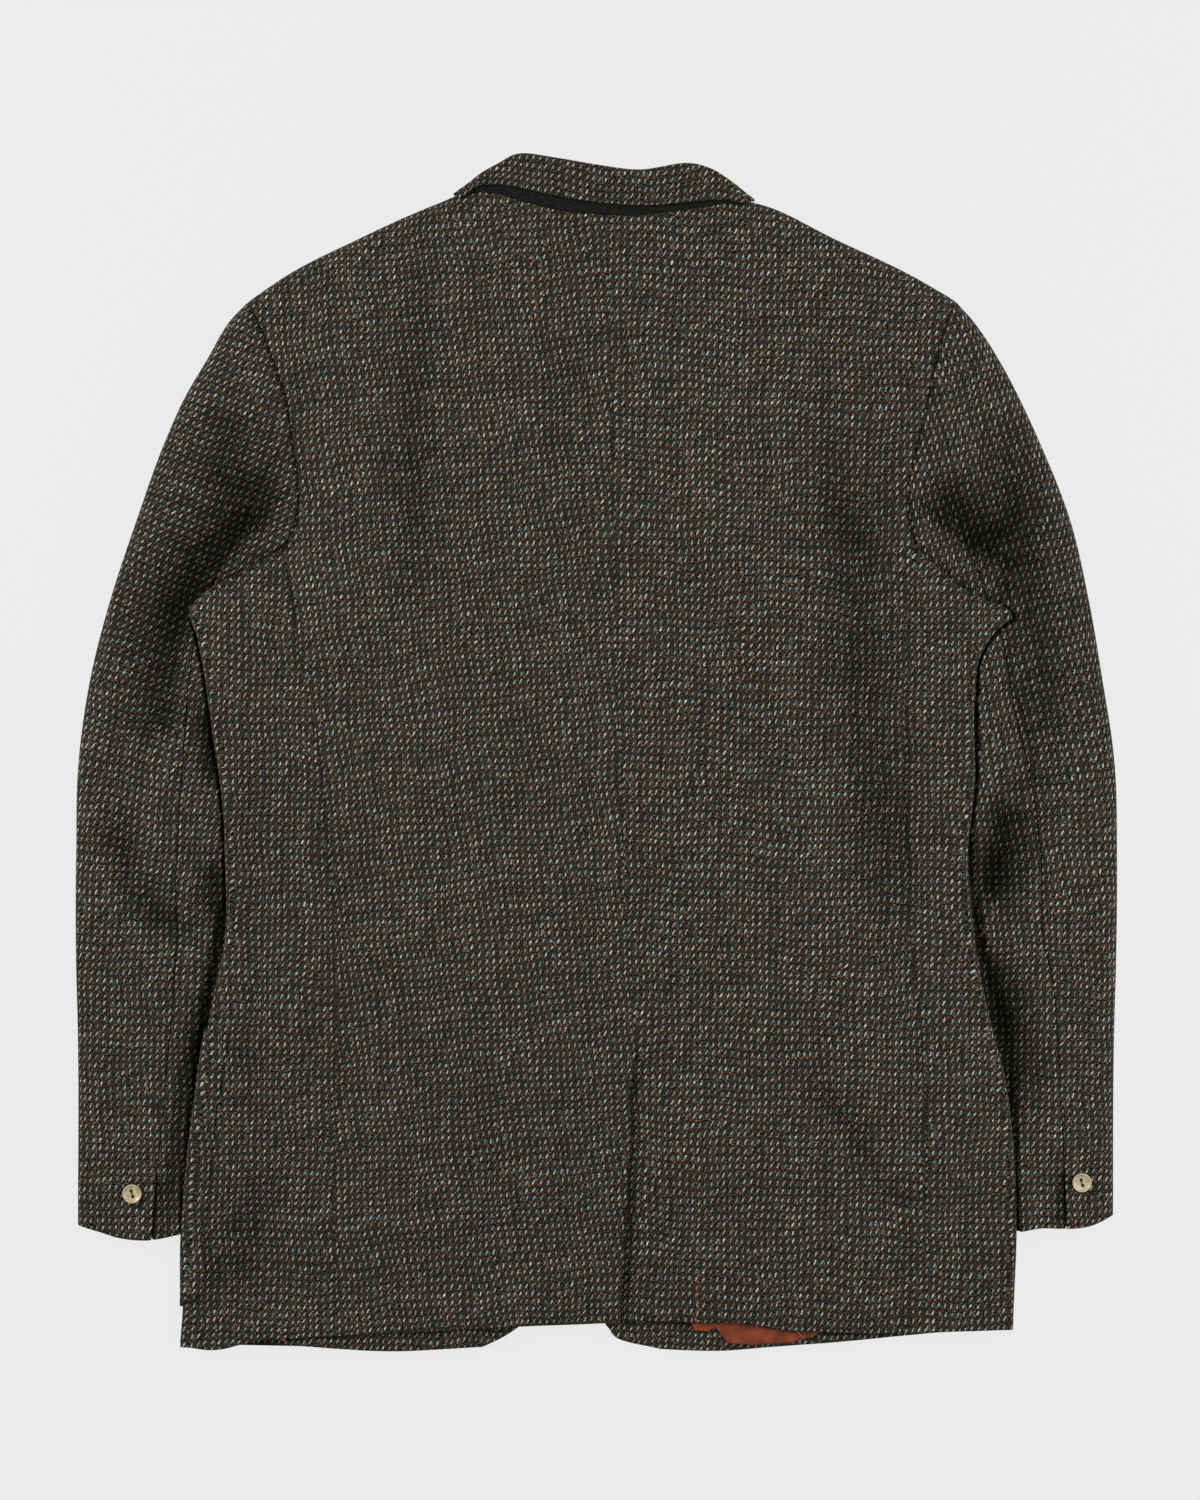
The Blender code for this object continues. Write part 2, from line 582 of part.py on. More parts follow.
def sleeve_height(side, x, y, t):
    """Upper face of a sleeve: puffed beside the body, thin under it, level with the back at its seam."""
    clear = np.min([side_of(side) * (x - body_outline(side, y - drop)) for drop in UNDERARM_LOOK], axis=0)
    clear = np.maximum(clear, 0)
    own = SLEEVE_TUCKED + SLEEVE_PUFF * soft_step(clear / SLEEVE_SPREAD)
    own = own + folds_at(SLEEVE_FOLDS[side], x, y) * soft_step(clear / SLEEVE_SPREAD)
    length = np.abs(SLEEVE_OUTER[side][-1][1] - SLEEVE_OUTER[side][0][1])
    kept = 1 - soft_step(t * length / ARMHOLE_BLEND)
    blended = own + (back_height(x, y) - own) * kept
    ceiling = (
        SLEEVE_TUCKED + CEILING_SLOPE[0] * np.maximum(clear - ARMHOLE_CLEAR, 0)
        + CEILING_SLOPE[1] * np.maximum(y - UNDERARM - ARMHOLE_CLEAR, 0)
    )
    return np.minimum(blended, ceiling)


def sleeve_point(side, ring, t):
    """A laid sleeve's surface. ring runs 0-1 over the top from outside to inside, 1-2 round the
    inner edge, 2-3 back underneath and 3-4 round the outer edge."""
    ring = np.mod(ring, 4)
    zero = np.zeros_like(ring * t)
    ox, oy = sleeve_plan(side, zero, t + zero)
    ix, iy = sleeve_plan(side, zero + 1, t + zero)
    width = np.hypot(ix - ox, iy - oy)
    ends = []
    for share in (0, 1):
        guess = SLEEVE_TUCKED / 2 if share else (SLEEVE_TUCKED + SLEEVE_PUFF) / 2
        s = np.abs(share - guess / width)
        x, y = sleeve_plan(side, s, t + zero)
        ends.append((guess, sleeve_height(side, x, y, t)))
    (outer_round, outer_top), (inner_round, inner_top) = ends
    part = ring - np.floor(ring)
    angle = part * pi
    flat = width - outer_round - inner_round
    from_outside = np.select(
        [ring < 1, ring < 2, ring < 3],
        [
            outer_round + part * flat,
            width - inner_round * (1 - np.sin(angle)),
            outer_round + (1 - part) * flat,
        ],
        outer_round * (1 - np.sin(angle)),
    )
    x, y = sleeve_plan(side, from_outside / width, t + zero)
    z = np.select(
        [ring < 1, ring < 2, ring < 3],
        [sleeve_height(side, x, y, t), inner_top / 2 * (1 + np.cos(angle)), zero],
        outer_top / 2 * (1 - np.cos(angle)),
    )
    return np.stack([x, y, z], axis=-1)


def elbow_ring(side, t):
    """Where the hindarm seam crosses the top of the sleeve at each t, on the ring's 0-1 stretch."""
    found = []
    for row in np.ravel(t):
        ring = np.linspace(0, 1, 120)
        point = sleeve_point(side, ring, np.array(row))
        past = side_of(side) * (smooth(ELBOW_SEAM[side], point[:, 1]) - point[:, 0])
        found.append(np.interp(0, past, ring))
    return np.clip(np.array(found), 0.12, 0.97).reshape(np.shape(t))


def sleeve(side):
    """The two panels of a sleeve, parted at the hindarm seam above and the forearm seam below."""
    t = np.concatenate([[0.0, 0.012, 0.03], np.linspace(0.06, 1, 21)])[:, None]
    seam = elbow_ring(side, t)
    half_gap = SEAM_GAP / 150
    top_side = np.concatenate([np.linspace(0, 1, 4)[:-1], np.linspace(1, 2, 6)[:-1], np.linspace(2, 3, 6)])
    under_side = np.concatenate([np.linspace(0, 1, 6)[:-1], np.linspace(1, 2, 4)[:-1], np.linspace(2, 3, 3)])
    fore = 2 + FOREARM_SHARE
    top_ring = np.select(
        [top_side < 1, top_side < 2],
        [fore + half_gap + top_side * (1 - FOREARM_SHARE - half_gap), 2 + top_side],
        4 + (top_side - 2) * (seam - half_gap),
    )
    under_ring = np.select(
        [under_side < 1, under_side < 2],
        [seam + half_gap + under_side * (1 - seam - half_gap), under_side + 0.0],
        2 + (under_side - 2) * (FOREARM_SHARE - half_gap),
    )
    for name, ring in (("top_sleeve_", top_ring), ("under_sleeve_", under_ring)):
        sheet(name + side, sleeve_point(side, ring, t), CLOTH, "tweed", flip=side == "left")


def patch_pocket(side):
    """A patch pocket, its points taken from the body's surface and moved out."""
    sign = side_of(side)
    start = POCKET_START[side]
    edge = np.abs(body_outline(side, POCKET_FOOT))
    far = edge + start - POCKET_WIDTH
    ramp = SLEEVE_IN - SLEEVE_RAMP
    if start > 0:  # it starts on the upper side and runs round the folded edge
        near = edge - 22
        around = EDGE_ROUND * pi * np.linspace(0.5, -0.5, EDGE_STEPS + 1)
        at_foot = np.concatenate([[start], around])
    else:
        near = edge + start
        at_foot = np.zeros(0)
    flat_x = sign * np.array([near, 238, SLEEVE_IN, ramp, (ramp + far) / 2, far])
    from_start = np.concatenate([start - at_foot, start + reach_to(side, flat_x, POCKET_FOOT)])
    from_corner = np.minimum(from_start, from_start[-1] - from_start)
    rounded = POCKET_CORNER * (1 - np.sqrt(1 - np.clip(1 - from_corner / POCKET_CORNER, 0, 1) ** 2))
    inner = [level for level in LEVELS if POCKET_FOOT + 30 < level < POCKET_TOP - 9]
    levels = [np.full_like(rounded, level) for level in inner]
    y = np.array([POCKET_FOOT + rounded, *levels, np.full_like(rounded, POCKET_TOP)])
    turned = at_foot.size
    reach = np.concatenate(
        [at_foot + 0 * y[:, :turned], -reach_to(side, flat_x, y[:, turned:])], axis=1
    )
    grid = body_edge_point(side, reach, y)
    if side == "left":
        grid = grid[:, ::-1]
    return sheet("pocket_" + side, moved_out(grid, POCKET_GAP + POCKET_CLOTH), POCKET_CLOTH, "tweed")


def fold_centre(station):
    """Height of the neck seam at a station, and of the middle of the collar's folded top."""
    neck_z = float(back_height(station.neck_x, station.neck_y))
    highest = max(other.turn for other in COLLAR)
    return neck_z, neck_z + COLLAR_RISE * station.turn / highest - 1.0


def collar():
    """The collar: its fall on top, folded over along the neck, with the inside of the stand below."""
    rows = []
    for station in COLLAR:
        neck = np.array([station.neck_x, station.neck_y])
        fall = np.array([station.fall_x, station.fall_y])
        fold = np.array([station.fold_x, station.fold_y])
        neck_z, middle = fold_centre(station)
        run = fold - neck
        run_length = np.hypot(*run)
        centre = fold - run / run_length * station.turn
        top_z, low_z = middle + station.turn, middle - station.turn
        fall_z = neck_z + FALL_GAP + CLOTH + FELT
        points = []
        for share in (0, 0.35, 0.7):
            place = fall + (centre - fall) * share
            points.append((*place, fall_z + (top_z - fall_z) * soft_step(share * 1.2)))
        for step in range(7):
            angle = pi / 2 - step * pi / 6
            place = centre + run / run_length * station.turn * np.cos(angle)
            points.append((*place, middle + station.turn * np.sin(angle)))
        inside = neck + run / run_length * 1.2
        for share in (0.5, 1.0):
            place = centre + (inside - centre) * share
            points.append((*place, low_z + (neck_z - CLOTH - FELT - LAY_GAP - low_z) * share))
        rows.append(points)
    return sheet("collar", np.array(rows), COLLAR_CLOTH, "tweed", flip=True)


def undercollar():
    """The felt under collar: a band from the neck seam up inside the fold."""
    rows = []
    for station in COLLAR[1:-1]:
        neck = np.array([station.neck_x, station.neck_y])
        fold = np.array([station.fold_x, station.fold_y])
        neck_z, middle = fold_centre(station)
        run = fold - neck
        run_length = np.hypot(*run)
        high_z = middle - station.turn + COLLAR_CLOTH + FELT + LAY_GAP + SEAM_GAP
        end = 1 - (station.turn + 3.6) / run_length
        points = []
        steepness = end / (1 - station.turn / run_length)
        for share in (0, 0.5, 1.0):
            place = neck + run / run_length * SEAM_GAP + (run * end) * share
            points.append((*place, neck_z + (high_z - neck_z) * share * steepness))
        rows.append(points)
    return sheet("undercollar", np.array(rows), FELT, "felt", flip=True)


def torn_lining():
    """The lining that hangs out below the right back hem, with its upper part inside."""
    edge_x = np.array([row[0] for row in LINING_EDGE], float)
    edge_y = np.array([row[1] for row in LINING_EDGE], float)
    share = np.linspace(0, 1, 6)[:, None]
    y = LINING_TOP + (edge_y - LINING_TOP) * share
    x = edge_x + 0 * y
    z = LINING_LEVEL - LINING_DROP * soft_step((LINING_DROP_FROM - y) / LINING_DROP_RAMP)
    return sheet("lining_hem", np.stack([x, y, z], axis=-1), LINING, "lining", flip=True)


def button(name, x, y, low, diameter, height):
    """A turned horn button: a dished disc with a raised rim and two holes."""
    radius = diameter / 2
    profile = [
        (0, 0), (radius * 0.7, 0), (radius * 0.97, height * 0.35), (radius, height * 0.6),
        (radius * 0.93, height), (radius * 0.78, height), (radius * 0.66, height * 0.72), (0, height * 0.68),
    ]
    steps = 16
    points, faces = [(0, 0, 0), (0, 0, profile[-1][1])], []
    for turn in range(steps):
        angle = 2 * pi * turn / steps
        points += [(r * np.cos(angle), r * np.sin(angle), h) for r, h in profile[1:-1]]
    ring = len(profile) - 2
    for turn in range(steps):
        here, after = 2 + turn * ring, 2 + (turn + 1) % steps * ring
        faces.append((0, after, here))
        faces.append((1, here + ring - 1, after + ring - 1))
        for k in range(ring - 1):
            faces.append((here + k, after + k, after + k + 1, here + k + 1))
    mesh = bpy.data.meshes.new(name)
    mesh.from_pydata((np.array(points) * MM).tolist(), [], faces)
    mesh.shade_smooth()
    made = bpy.data.objects.new(name, mesh)
    made.location = (x * MM, y * MM, low * MM)
    bpy.context.collection.objects.link(made)
    mesh.materials.append(material("horn", name))
    for side, away in (("a", -HOLE_SPACING / 2), ("b", HOLE_SPACING / 2)):
        hole_x, hole_y = x + away * HOLE_DIRECTION[0], y + away * HOLE_DIRECTION[1]
        bpy.ops.mesh.primitive_cylinder_add(
            vertices=8, radius=HOLE_DIAMETER / 2 * MM, depth=4 * height * MM,
            location=(hole_x * MM, hole_y * MM, low * MM),
        )
        drill = bpy.context.object
        drill.name = name + "_drill_" + side
        drill.hide_render = True
        drill.display_type = "WIRE"
        cut = made.modifiers.new("hole_" + side, "BOOLEAN")
        cut.operation = "DIFFERENCE"
        cut.object = drill
    return made


clear_scene()
for wearer_side in ("left", "right"):
    back(wearer_side)
    side_body(wearer_side)
    front(wearer_side)
    lapel(wearer_side)
    sleeve(wearer_side)
    patch_pocket(wearer_side)
    button_x, button_y = CUFF_BUTTON[wearer_side]
    around = button_x + CUFF_BUTTON_DIAMETER / 2 * np.array([-1, -0.5, 0, 0.5, 1])
    seat = sleeve_height(wearer_side, around, np.full(5, button_y), 0.95).max() + BUTTON_CLEAR
    button(
        "cuff_button_" + wearer_side, button_x, button_y, seat, CUFF_BUTTON_DIAMETER,
        CUFF_BUTTON_HEIGHT,
    )
collar()
undercollar()
torn_lining()
for number, level in enumerate(BUTTON_LEVELS, 1):
    button(
        "front_button_%d" % number, BUTTON_LINE, level, 0.0, FRONT_BUTTON_DIAMETER,
        FRONT_BUTTON_HEIGHT,
    )
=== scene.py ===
# Tweed hacking jacket laid flat on its fronts with the back up: cloth, buttons and thread over its solids.
# Tables and formulas are in millimetres seen from above, the wearer's left at -x; meshes are in metres.
from math import pi

import bpy
import numpy as np
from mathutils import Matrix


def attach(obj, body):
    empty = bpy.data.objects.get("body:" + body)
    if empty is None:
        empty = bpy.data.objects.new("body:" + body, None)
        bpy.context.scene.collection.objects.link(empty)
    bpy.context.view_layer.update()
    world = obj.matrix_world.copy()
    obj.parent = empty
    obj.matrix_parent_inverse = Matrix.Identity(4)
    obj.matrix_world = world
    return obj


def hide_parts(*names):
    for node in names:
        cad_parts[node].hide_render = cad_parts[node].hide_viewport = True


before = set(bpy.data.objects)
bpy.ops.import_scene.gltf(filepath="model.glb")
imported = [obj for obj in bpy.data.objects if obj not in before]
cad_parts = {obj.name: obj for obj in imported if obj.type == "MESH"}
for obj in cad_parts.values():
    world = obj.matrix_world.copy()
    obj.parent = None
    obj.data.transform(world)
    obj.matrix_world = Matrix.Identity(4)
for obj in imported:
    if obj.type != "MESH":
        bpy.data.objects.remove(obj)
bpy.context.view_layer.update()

mm = 0.001
signOf = {"left": -1, "right": 1}
print("frame loaded:", len(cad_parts), "nodes")

view = {"centre": (0.00245, 0.00175), "distance": 2.6, "height": 0.012, "lens": 89.1}

camera = bpy.data.objects.new("camera", bpy.data.cameras.new("camera"))
bpy.context.collection.objects.link(camera)
camera.location = (*view["centre"], view["distance"] + view["height"])
camera.data.lens = view["lens"]
camera.data.sensor_width = 36
camera.data.clip_end = 20
bpy.context.scene.camera = camera
bpy.context.scene.view_settings.view_transform = "Standard"
print("camera set")


# ---- shared curves and shapes

def curveThrough(table, at):  # second column at places along the first, on a smooth cubic through the rows
    rows = np.array(table, float)
    rows = rows[np.argsort(rows[:, 0], kind="stable")]
    place, value = rows[:, 0], rows[:, 1]
    slope = np.gradient(value, place)
    at = np.clip(at, place[0], place[-1])
    i = np.clip(np.searchsorted(place, at) - 1, 0, len(place) - 2)
    span = place[i + 1] - place[i]
    t = (at - place[i]) / span
    start = value[i] * (1 + 2 * t) + slope[i] * span * t
    end = value[i + 1] * (3 - 2 * t) + slope[i + 1] * span * (t - 1)
    return start * (1 - t) ** 2 + end * t**2


def alongPath(points, share):  # x and y at a share of the length of a smooth path through the points
    points = np.array(points, float)
    run = np.concatenate([[0], np.cumsum(np.hypot(*np.diff(points, axis=0).T))])
    run /= run[-1]
    return [curveThrough(np.column_stack([run, points[:, axis]]), share) for axis in (0, 1)]


def eased(value):  # 0 below 0, 1 above 1, and an S-shaped rise between
    t = np.clip(value, 0, 1)
    return t * t * (3 - 2 * t)


def straightLevel(value, low, high, ramp):  # 1 from low to high, falling evenly to 0 over the ramp outside
    return np.clip((value - low) / ramp + 1, 0, 1) * np.clip((high - value) / ramp + 1, 0, 1)


def softLevel(value, low, high, ramp):  # the same with soft ramps
    return eased((value - low) / ramp + 1) * eased((high - value) / ramp + 1)


def unevenness(x, y, size, seed):  # smooth random hills from -1 to 1: random heights on a square grid, eased between
    heights = np.random.default_rng(seed).uniform(-1, 1, (97, 97))
    px, py = x / size + 200.37, y / size + 200.71
    i, j = np.floor(px).astype(int), np.floor(py).astype(int)
    a, b = eased(px - i), eased(py - j)
    near = heights[i % 97, j % 97] * (1 - b) + heights[i % 97, (j + 1) % 97] * b
    far = heights[(i + 1) % 97, j % 97] * (1 - b) + heights[(i + 1) % 97, (j + 1) % 97] * b
    return near * (1 - a) + far * a


def creaseRelief(creases, x, y):
    # height and painted shade of the creases, each (height, painted shade, reach on its left, reach on its right,
    # path):
    # a bell across the path that is steep on its short side, fades towards both ends and is uneven along its length
    relief = np.zeros((2,) + np.broadcast(x, y).shape)
    for number, (height, shade, left, right, path) in enumerate(creases):
        path = np.array(path, float)
        lengths = np.hypot(*np.diff(path, axis=0).T)
        whole = lengths.sum()
        nearest = np.full(relief[0].shape, 1e9)
        signed, place = np.zeros(nearest.shape), np.zeros(nearest.shape)
        for k, length in enumerate(lengths):
            ahead = (path[k + 1] - path[k]) / length
            dx, dy = x - path[k][0], y - path[k][1]
            step = np.clip(dx * ahead[0] + dy * ahead[1], 0, length)
            away = np.hypot(dx - step * ahead[0], dy - step * ahead[1])
            closer = away < nearest
            nearest = np.where(closer, away, nearest)
            signed = np.where(closer, ahead[0] * dy - ahead[1] * dx, signed)
            place = np.where(closer, lengths[:k].sum() + step, place)
        fade = eased(np.minimum(place, whole - place) / whole * 3 + 0.25)
        varied = 1 + 0.2 * unevenness(place, 0 * place, 34, 300 + number)
        bell = varied * fade * np.exp(-((nearest / np.where(signed > 0, left, right)) ** 2))
        relief += np.multiply.outer((height, shade), bell)
    return relief


def sharesBetween(length, step, fine=(), fineStep=0.7):
    # shares of a length about one step apart, with narrow steps over the first and last few millimetres named in fine
    places = list(np.linspace(0, length, max(2, round(length / step) + 1)))
    for end, reach in fine:
        extra = np.arange(0, reach, fineStep)
        places += list(extra if end == "start" else length - extra)
    places = np.unique(np.round(places, 3))
    kept = np.concatenate([[True], np.diff(places) > 0.3 * fineStep])
    places = places[kept]
    places[-1] = length
    return places / length


# ---- outlines and heights of the laid jacket, as in the solids

cloth = {"wall": 2.0, "pocketWall": 1.6, "felt": 1.5, "lining": 1.0, "seamGap": 0.3, "seamLap": 0.5, "step": 2.6, "sleeveStep": 2.1, "hiddenStep": 7.0}

body = {
    "shoulderMid": 12.0, "shoulderRound": 12.0, "edgeRound": 6.5, "armholeDip": 5.0, "dipSize": 36.0,
    "sideRise": 1.5, "hemLevel": -420.0, "shoulderLevel": 400.0, "underarm": 143.0,
    "height": ((-420, 15.0), (-330, 17.0), (-200, 19.0), (0, 19.5), (150, 20.0), (250, 22.0), (330, 24.5),
               (395, 25.0)),
    "centreSeam": ((-208, 27.0), (-138, 22.1), (-33, 17.9), (142, 12.3), (247, 10.9), (355, 7.4), (376, 6.0)),
    "vent": {
        "left": ((-400, 16.5), (-306, 22.0), (-224, 25.0), (-212, 27.0)),
        "right": ((-400, -22.0), (-330, -18.0), (-290, -14.0), (-242, 23.0), (-224, 25.0), (-212, 27.0)),
    },
    "ventTop": -212.0, "ventStep": 2.2, "ventRamp": 20.0,
    "hemLift": {"left": 8.8, "right": 6.6}, "hemFrom": -384.0, "hemRamp": 16.0, "hemReach": 238.0, "hemFade": 22.0,
    "sideSeam": {
        "left": ((-415, -183), (-300, -183), (-103, -184), (0, -193), (60, -205), (107, -214), (143, -218)),
        "right": ((-410, 230), (-306, 230), (-230, 229), (-173, 224), (-120, 218.5), (-40, 216.5), (79, 216),
                  (120, 219), (143, 221)),
    },
    "armhole": {
        "left": ((143, -218), (158, -210.8), (178, -208.2), (196, -209.6), (219, -212.5), (247, -216.7),
                 (275, -226), (296, -234), (315.4, -244)),
        "right": ((143, 224), (156, 220.5), (180, 218), (219, 225), (247, 231), (275, 237), (310, 247.5),
                  (316.8, 250.3)),
    },
    "edge": {
        "left": ((-415, -292), (-389, -290), (-341, -289), (-285, -284.6), (-229, -277.6), (-173, -268.5),
                 (-131, -260), (-75, -260), (-33, -262), (9, -268), (51, -274), (79, -279), (103, -283),
                 (114.5, -271), (128, -246), (143, -218)),
        "right": ((-410, 292), (-292, 293), (-229, 286), (-173, 272), (-117, 263), (-75, 260), (-19, 265),
                  (37, 265), (70, 270), (86, 281), (95, 291), (103, 283), (107, 272), (122, 247),
                  (138, 230), (143, 224)),
    },
    "frontSeam": {
        "left": ((-418, -266), (-300, -258), (-103, -226), (37, -214), (103, -213), (143, -213)),
        "right": ((-418, 266), (-300, 262), (-103, 226), (37, 218), (103, 216), (143, 216)),
    },
    "frontEdge": {
        "left": ((-417, -81), (-411, -68), (-402, -54), (-383, -40), (-341, -19), (-278, 10), (-200, 38),
                 (-150, 40), (60, 40), (220, -18), (388, -84)),
        "right": ((-418, 45), (-414, 24), (-403, 8), (-383, 3), (-330, 0), (60, 0), (220, 46), (386, 99)),
    },
    "backHem": {
        "left": ((-291, -416.5), (-277, -418.4), (-266, -417.6), (-254, -414.6), (-240, -411.8), (-219, -410.6),
                 (-138, -406.4), (-55, -402), (17, -398.7)),
        "right": ((-22, -398), (16, -398), (72, -399.2), (104, -399.8), (115, -401.7), (124, -403.6),
                  (138, -405), (161, -405.6), (198, -407), (247, -405.7), (292, -404.3)),
    },
    "frontHem": {
        "left": ((-291, -416.5), (-271, -416.5), (-250, -413), (-238, -413.2), (-222, -414.6), (-194, -417), (-138, -419.6), (-110, -418.3),
                 (-81, -416.5)),
        "right": ((45, -418.3), (58, -419), (87, -419.6), (115, -417.6), (170, -413.4), (226, -407.8),
                  (247, -405.7), (292, -404.3)),
    },
    "topLine": ((-244, 315.4), (-218, 333.2), (-168, 358.8), (-112, 384), (-88.6, 392.4), (-67.6, 389.6),
                (-46.6, 383.3), (-25.6, 378.4), (2.5, 374.9), (30.5, 374.9), (58.5, 377.7), (79.5, 381.9),
                (97, 384.7), (104, 386), (114, 384), (168, 358.8), (221, 333.6), (250.3, 316.8)),
    "neck": (-78.6, 91.0, 10.0),
    "over": {"in": 207.0, "ramp": 44.0, "cuff": -352.0, "top": 143.0, "topRamp": 40.0, "lift": 7.8},
    "folds": (
        (-130, 300, -128, 190, 26, -2.6), (-30, 320, -24, 245, 22, -1.6), (170, 190, 184, 36, 22, -3.4),
        (184, 36, 206, -150, 24, -3.2), (142, 200, 190, 50, 20, 1.8), (136, -230, 212, -312, 18, -2.4),
        (-250, -372, -170, -388, 20, -1.8), (206, -318, 284, -318, 9, -1.5), (40, 60, 56, -120, 30, 1.2),
        (-90, 40, -70, -160, 30, 1.2),
    ),
    "stand": (2, 60, 30, -214, 60, 40, 3.4), "overlap": (-99, 48, 34, -316, 134, 34, 5.8),
}


def foldRelief(folds, x, y):  # a bell-shaped ridge or trough along each line x0, y0, x1, y1, width, depth
    total = np.zeros(np.broadcast(x, y).shape)
    for x0, y0, x1, y1, width, depth in folds:
        dx, dy = x1 - x0, y1 - y0
        share = np.clip(((x - x0) * dx + (y - y0) * dy) / (dx * dx + dy * dy), 0, 1)
        total += depth * np.exp(-(np.hypot(x - x0 - share * dx, y - y0 - share * dy) / width) ** 2)
    return total


def bodyOutline(side, y):  # x of the folded side edge, then of the armhole
    return np.where(y < body["underarm"], curveThrough(body["edge"][side], y), curveThrough(body["armhole"][side], y))


def overSleeves(x, y):  # 1 where the body lies on a tucked sleeve
    over = body["over"]
    return straightLevel(np.abs(x), over["in"], 999, over["ramp"]) * straightLevel(
        y, over["cuff"], over["top"], over["topRamp"])


def shoulderTurn(x, y):  # 0 on the shoulder's folded line, 1 a little inside it and at the open neck
    inside = np.clip((curveThrough(body["topLine"], x) - y) / body["shoulderRound"], 0, 1)
    turned = np.sqrt(1 - (1 - inside) ** 2)
    return turned + (1 - turned) * softLevel(x, *body["neck"])


def backHeight(x, y):  # outer face of the upper layer: slow rise to the collar, folds, and the shoulder's round
    height = curveThrough(body["height"], y) + body["sideRise"] * overSleeves(x, y)
    for side in ("left", "right"):
        cornerY, cornerX = body["armhole"][side][1]
        away = np.hypot(x - cornerX, y - cornerY)
        height = height - body["armholeDip"] * np.exp(-((away / body["dipSize"]) ** 2))
    height = height + foldRelief(body["folds"], x, y)
    return body["shoulderMid"] + (height - body["shoulderMid"]) * shoulderTurn(x, y)


pockets = {
    "top": -194.0, "foot": -389.0, "width": 172.0, "start": {"left": 19.0, "right": -24.0}, "corner": 26.0,
    "gap": 0.65, "lift": 2.75, "ramp": 30.0, "margin": 36.0, "below": 30.0, "above": 22.0,
}
lapels = {
    "foot": {"left": 60.0, "right": 128.0}, "head": 372.0, "wall": 2.2, "lift": 3.2,
    "width": ((0.0, 1.0), (0.15, 22.0), (0.4, 56.0), (0.66, 84.0), (0.72, 78.0), (0.8, 40.0), (1.0, 26.0)),
}


def lapelLine(side):  # foot of the roll line, unit directions along it and out from the middle, and its length
    foot, head = (
        np.array([curveThrough(body["frontEdge"][side], y), y]) for y in (lapels["foot"][side], lapels["head"]))
    length = np.hypot(*(head - foot))
    ahead = (head - foot) / length
    return foot, ahead, np.array([ahead[1], -ahead[0]]) * signOf[side], length


def frontHeight(side, x, y):  # lower, outer face of the under layer: on the surface but for what lies beneath it
    foot, ahead, out, length = lapelLine(side)
    share = ((x - foot[0]) * ahead[0] + (y - foot[1]) * ahead[1]) / length
    away = (x - foot[0]) * out[0] + (y - foot[1]) * out[1]
    width = curveThrough(lapels["width"], np.clip(share, 0, 1))
    lapel = lapels["lift"] * softLevel(away, -40, width + 26, 30) * softLevel(share, -0.06, 2, 0.1)
    lowX, highX, rampX, lowY, highY, rampY, lift = body["stand" if side == "left" else "overlap"]
    stand = lift * softLevel(x, lowX, highX, rampX) * softLevel(y, lowY, highY, rampY)
    reach = pockets["width"] - pockets["start"][side] + pockets["margin"]
    inner = np.abs(curveThrough(body["edge"][side], y)) - reach
    pocket = pockets["lift"] * softLevel(np.abs(x), inner, 999, pockets["ramp"]) * softLevel(
        y, pockets["foot"] - pockets["below"], pockets["top"] + pockets["above"], pockets["ramp"])
    height = np.maximum(body["over"]["lift"] * overSleeves(x, y), np.maximum(lapel, stand)) + pocket
    return body["shoulderMid"] + (height - body["shoulderMid"]) * shoulderTurn(x, y)


# ---- fine relief of the cloth

relief = {
    "hills": ((74, 0.75, 11), (31, 0.32, 12), (13, 0.13, 13)),  # size, height, seed
    "seamDip": 0.75, "armholeDip": 2.2, "seamWidth": 1.7, "seamSwell": 0.35, "swellWidth": 8.0, "pucker": 0.22, "puckerLength": 9.0,
    "edgeRadius": 1.6,
}


def clothHills(x, y, seed=0):  # three sizes of random hills added up
    return sum(height * unevenness(x, y, size, number + seed) for size, height, number in relief["hills"])


def seamDip(away, along, seed=0, depth=relief["seamDip"]):
    # a groove at a seam, a low swell beside it over the turned allowance, and puckers along it
    away = np.abs(away)
    groove = -depth * np.exp(-((away / relief["seamWidth"]) ** 1.5))
    swell = relief["seamSwell"] * np.exp(-(((away - 7) / relief["swellWidth"]) ** 2))
    pucker = relief["pucker"] * unevenness(along, away * 0.4, relief["puckerLength"], 40 + seed) * np.exp(-away / 9)
    return groove + swell + pucker


def roundedEdge(away):  # how far a cut or folded edge drops: a quarter circle over its radius
    radius = relief["edgeRadius"]
    return -radius * (1 - np.sqrt(1 - np.clip(1 - away / radius, 0, 1) ** 2))


# ---- surfaces

def linear(code):  # sRGB hex to linear
    parts = [int(code[i:i + 2], 16) / 255 for i in (1, 3, 5)]
    return (*(p / 12.92 if p <= 0.04045 else ((p + 0.055) / 1.055) ** 2.4 for p in parts), 1)


def add(tree, kind, *inputs, out=0, **settings):
    # one shader node with its settings; inputs are values or outputs of other nodes, by place or as {socket: value}
    node = tree.nodes.new("ShaderNode" + kind)
    for name, value in settings.items():
        setattr(node, name, value)
    named = {}
    for place, value in enumerate(inputs):
        named.update(value if isinstance(value, dict) else {place: value})
    for socket, value in named.items():
        if isinstance(value, bpy.types.NodeSocket):
            tree.links.new(value, node.inputs[socket])
        elif value is not None:
            node.inputs[socket].default_value = value
    return node.outputs[out]


def newSurface(name, **sockets):  # a Principled surface with constants set on its own sockets
    made = bpy.data.materials.new(name)
    made.use_nodes = True
    shader = made.node_tree.nodes["Principled BSDF"]
    for socket, value in sockets.items():
        shader.inputs[socket.replace("_", " ")].default_value = value
    return made, made.node_tree, shader


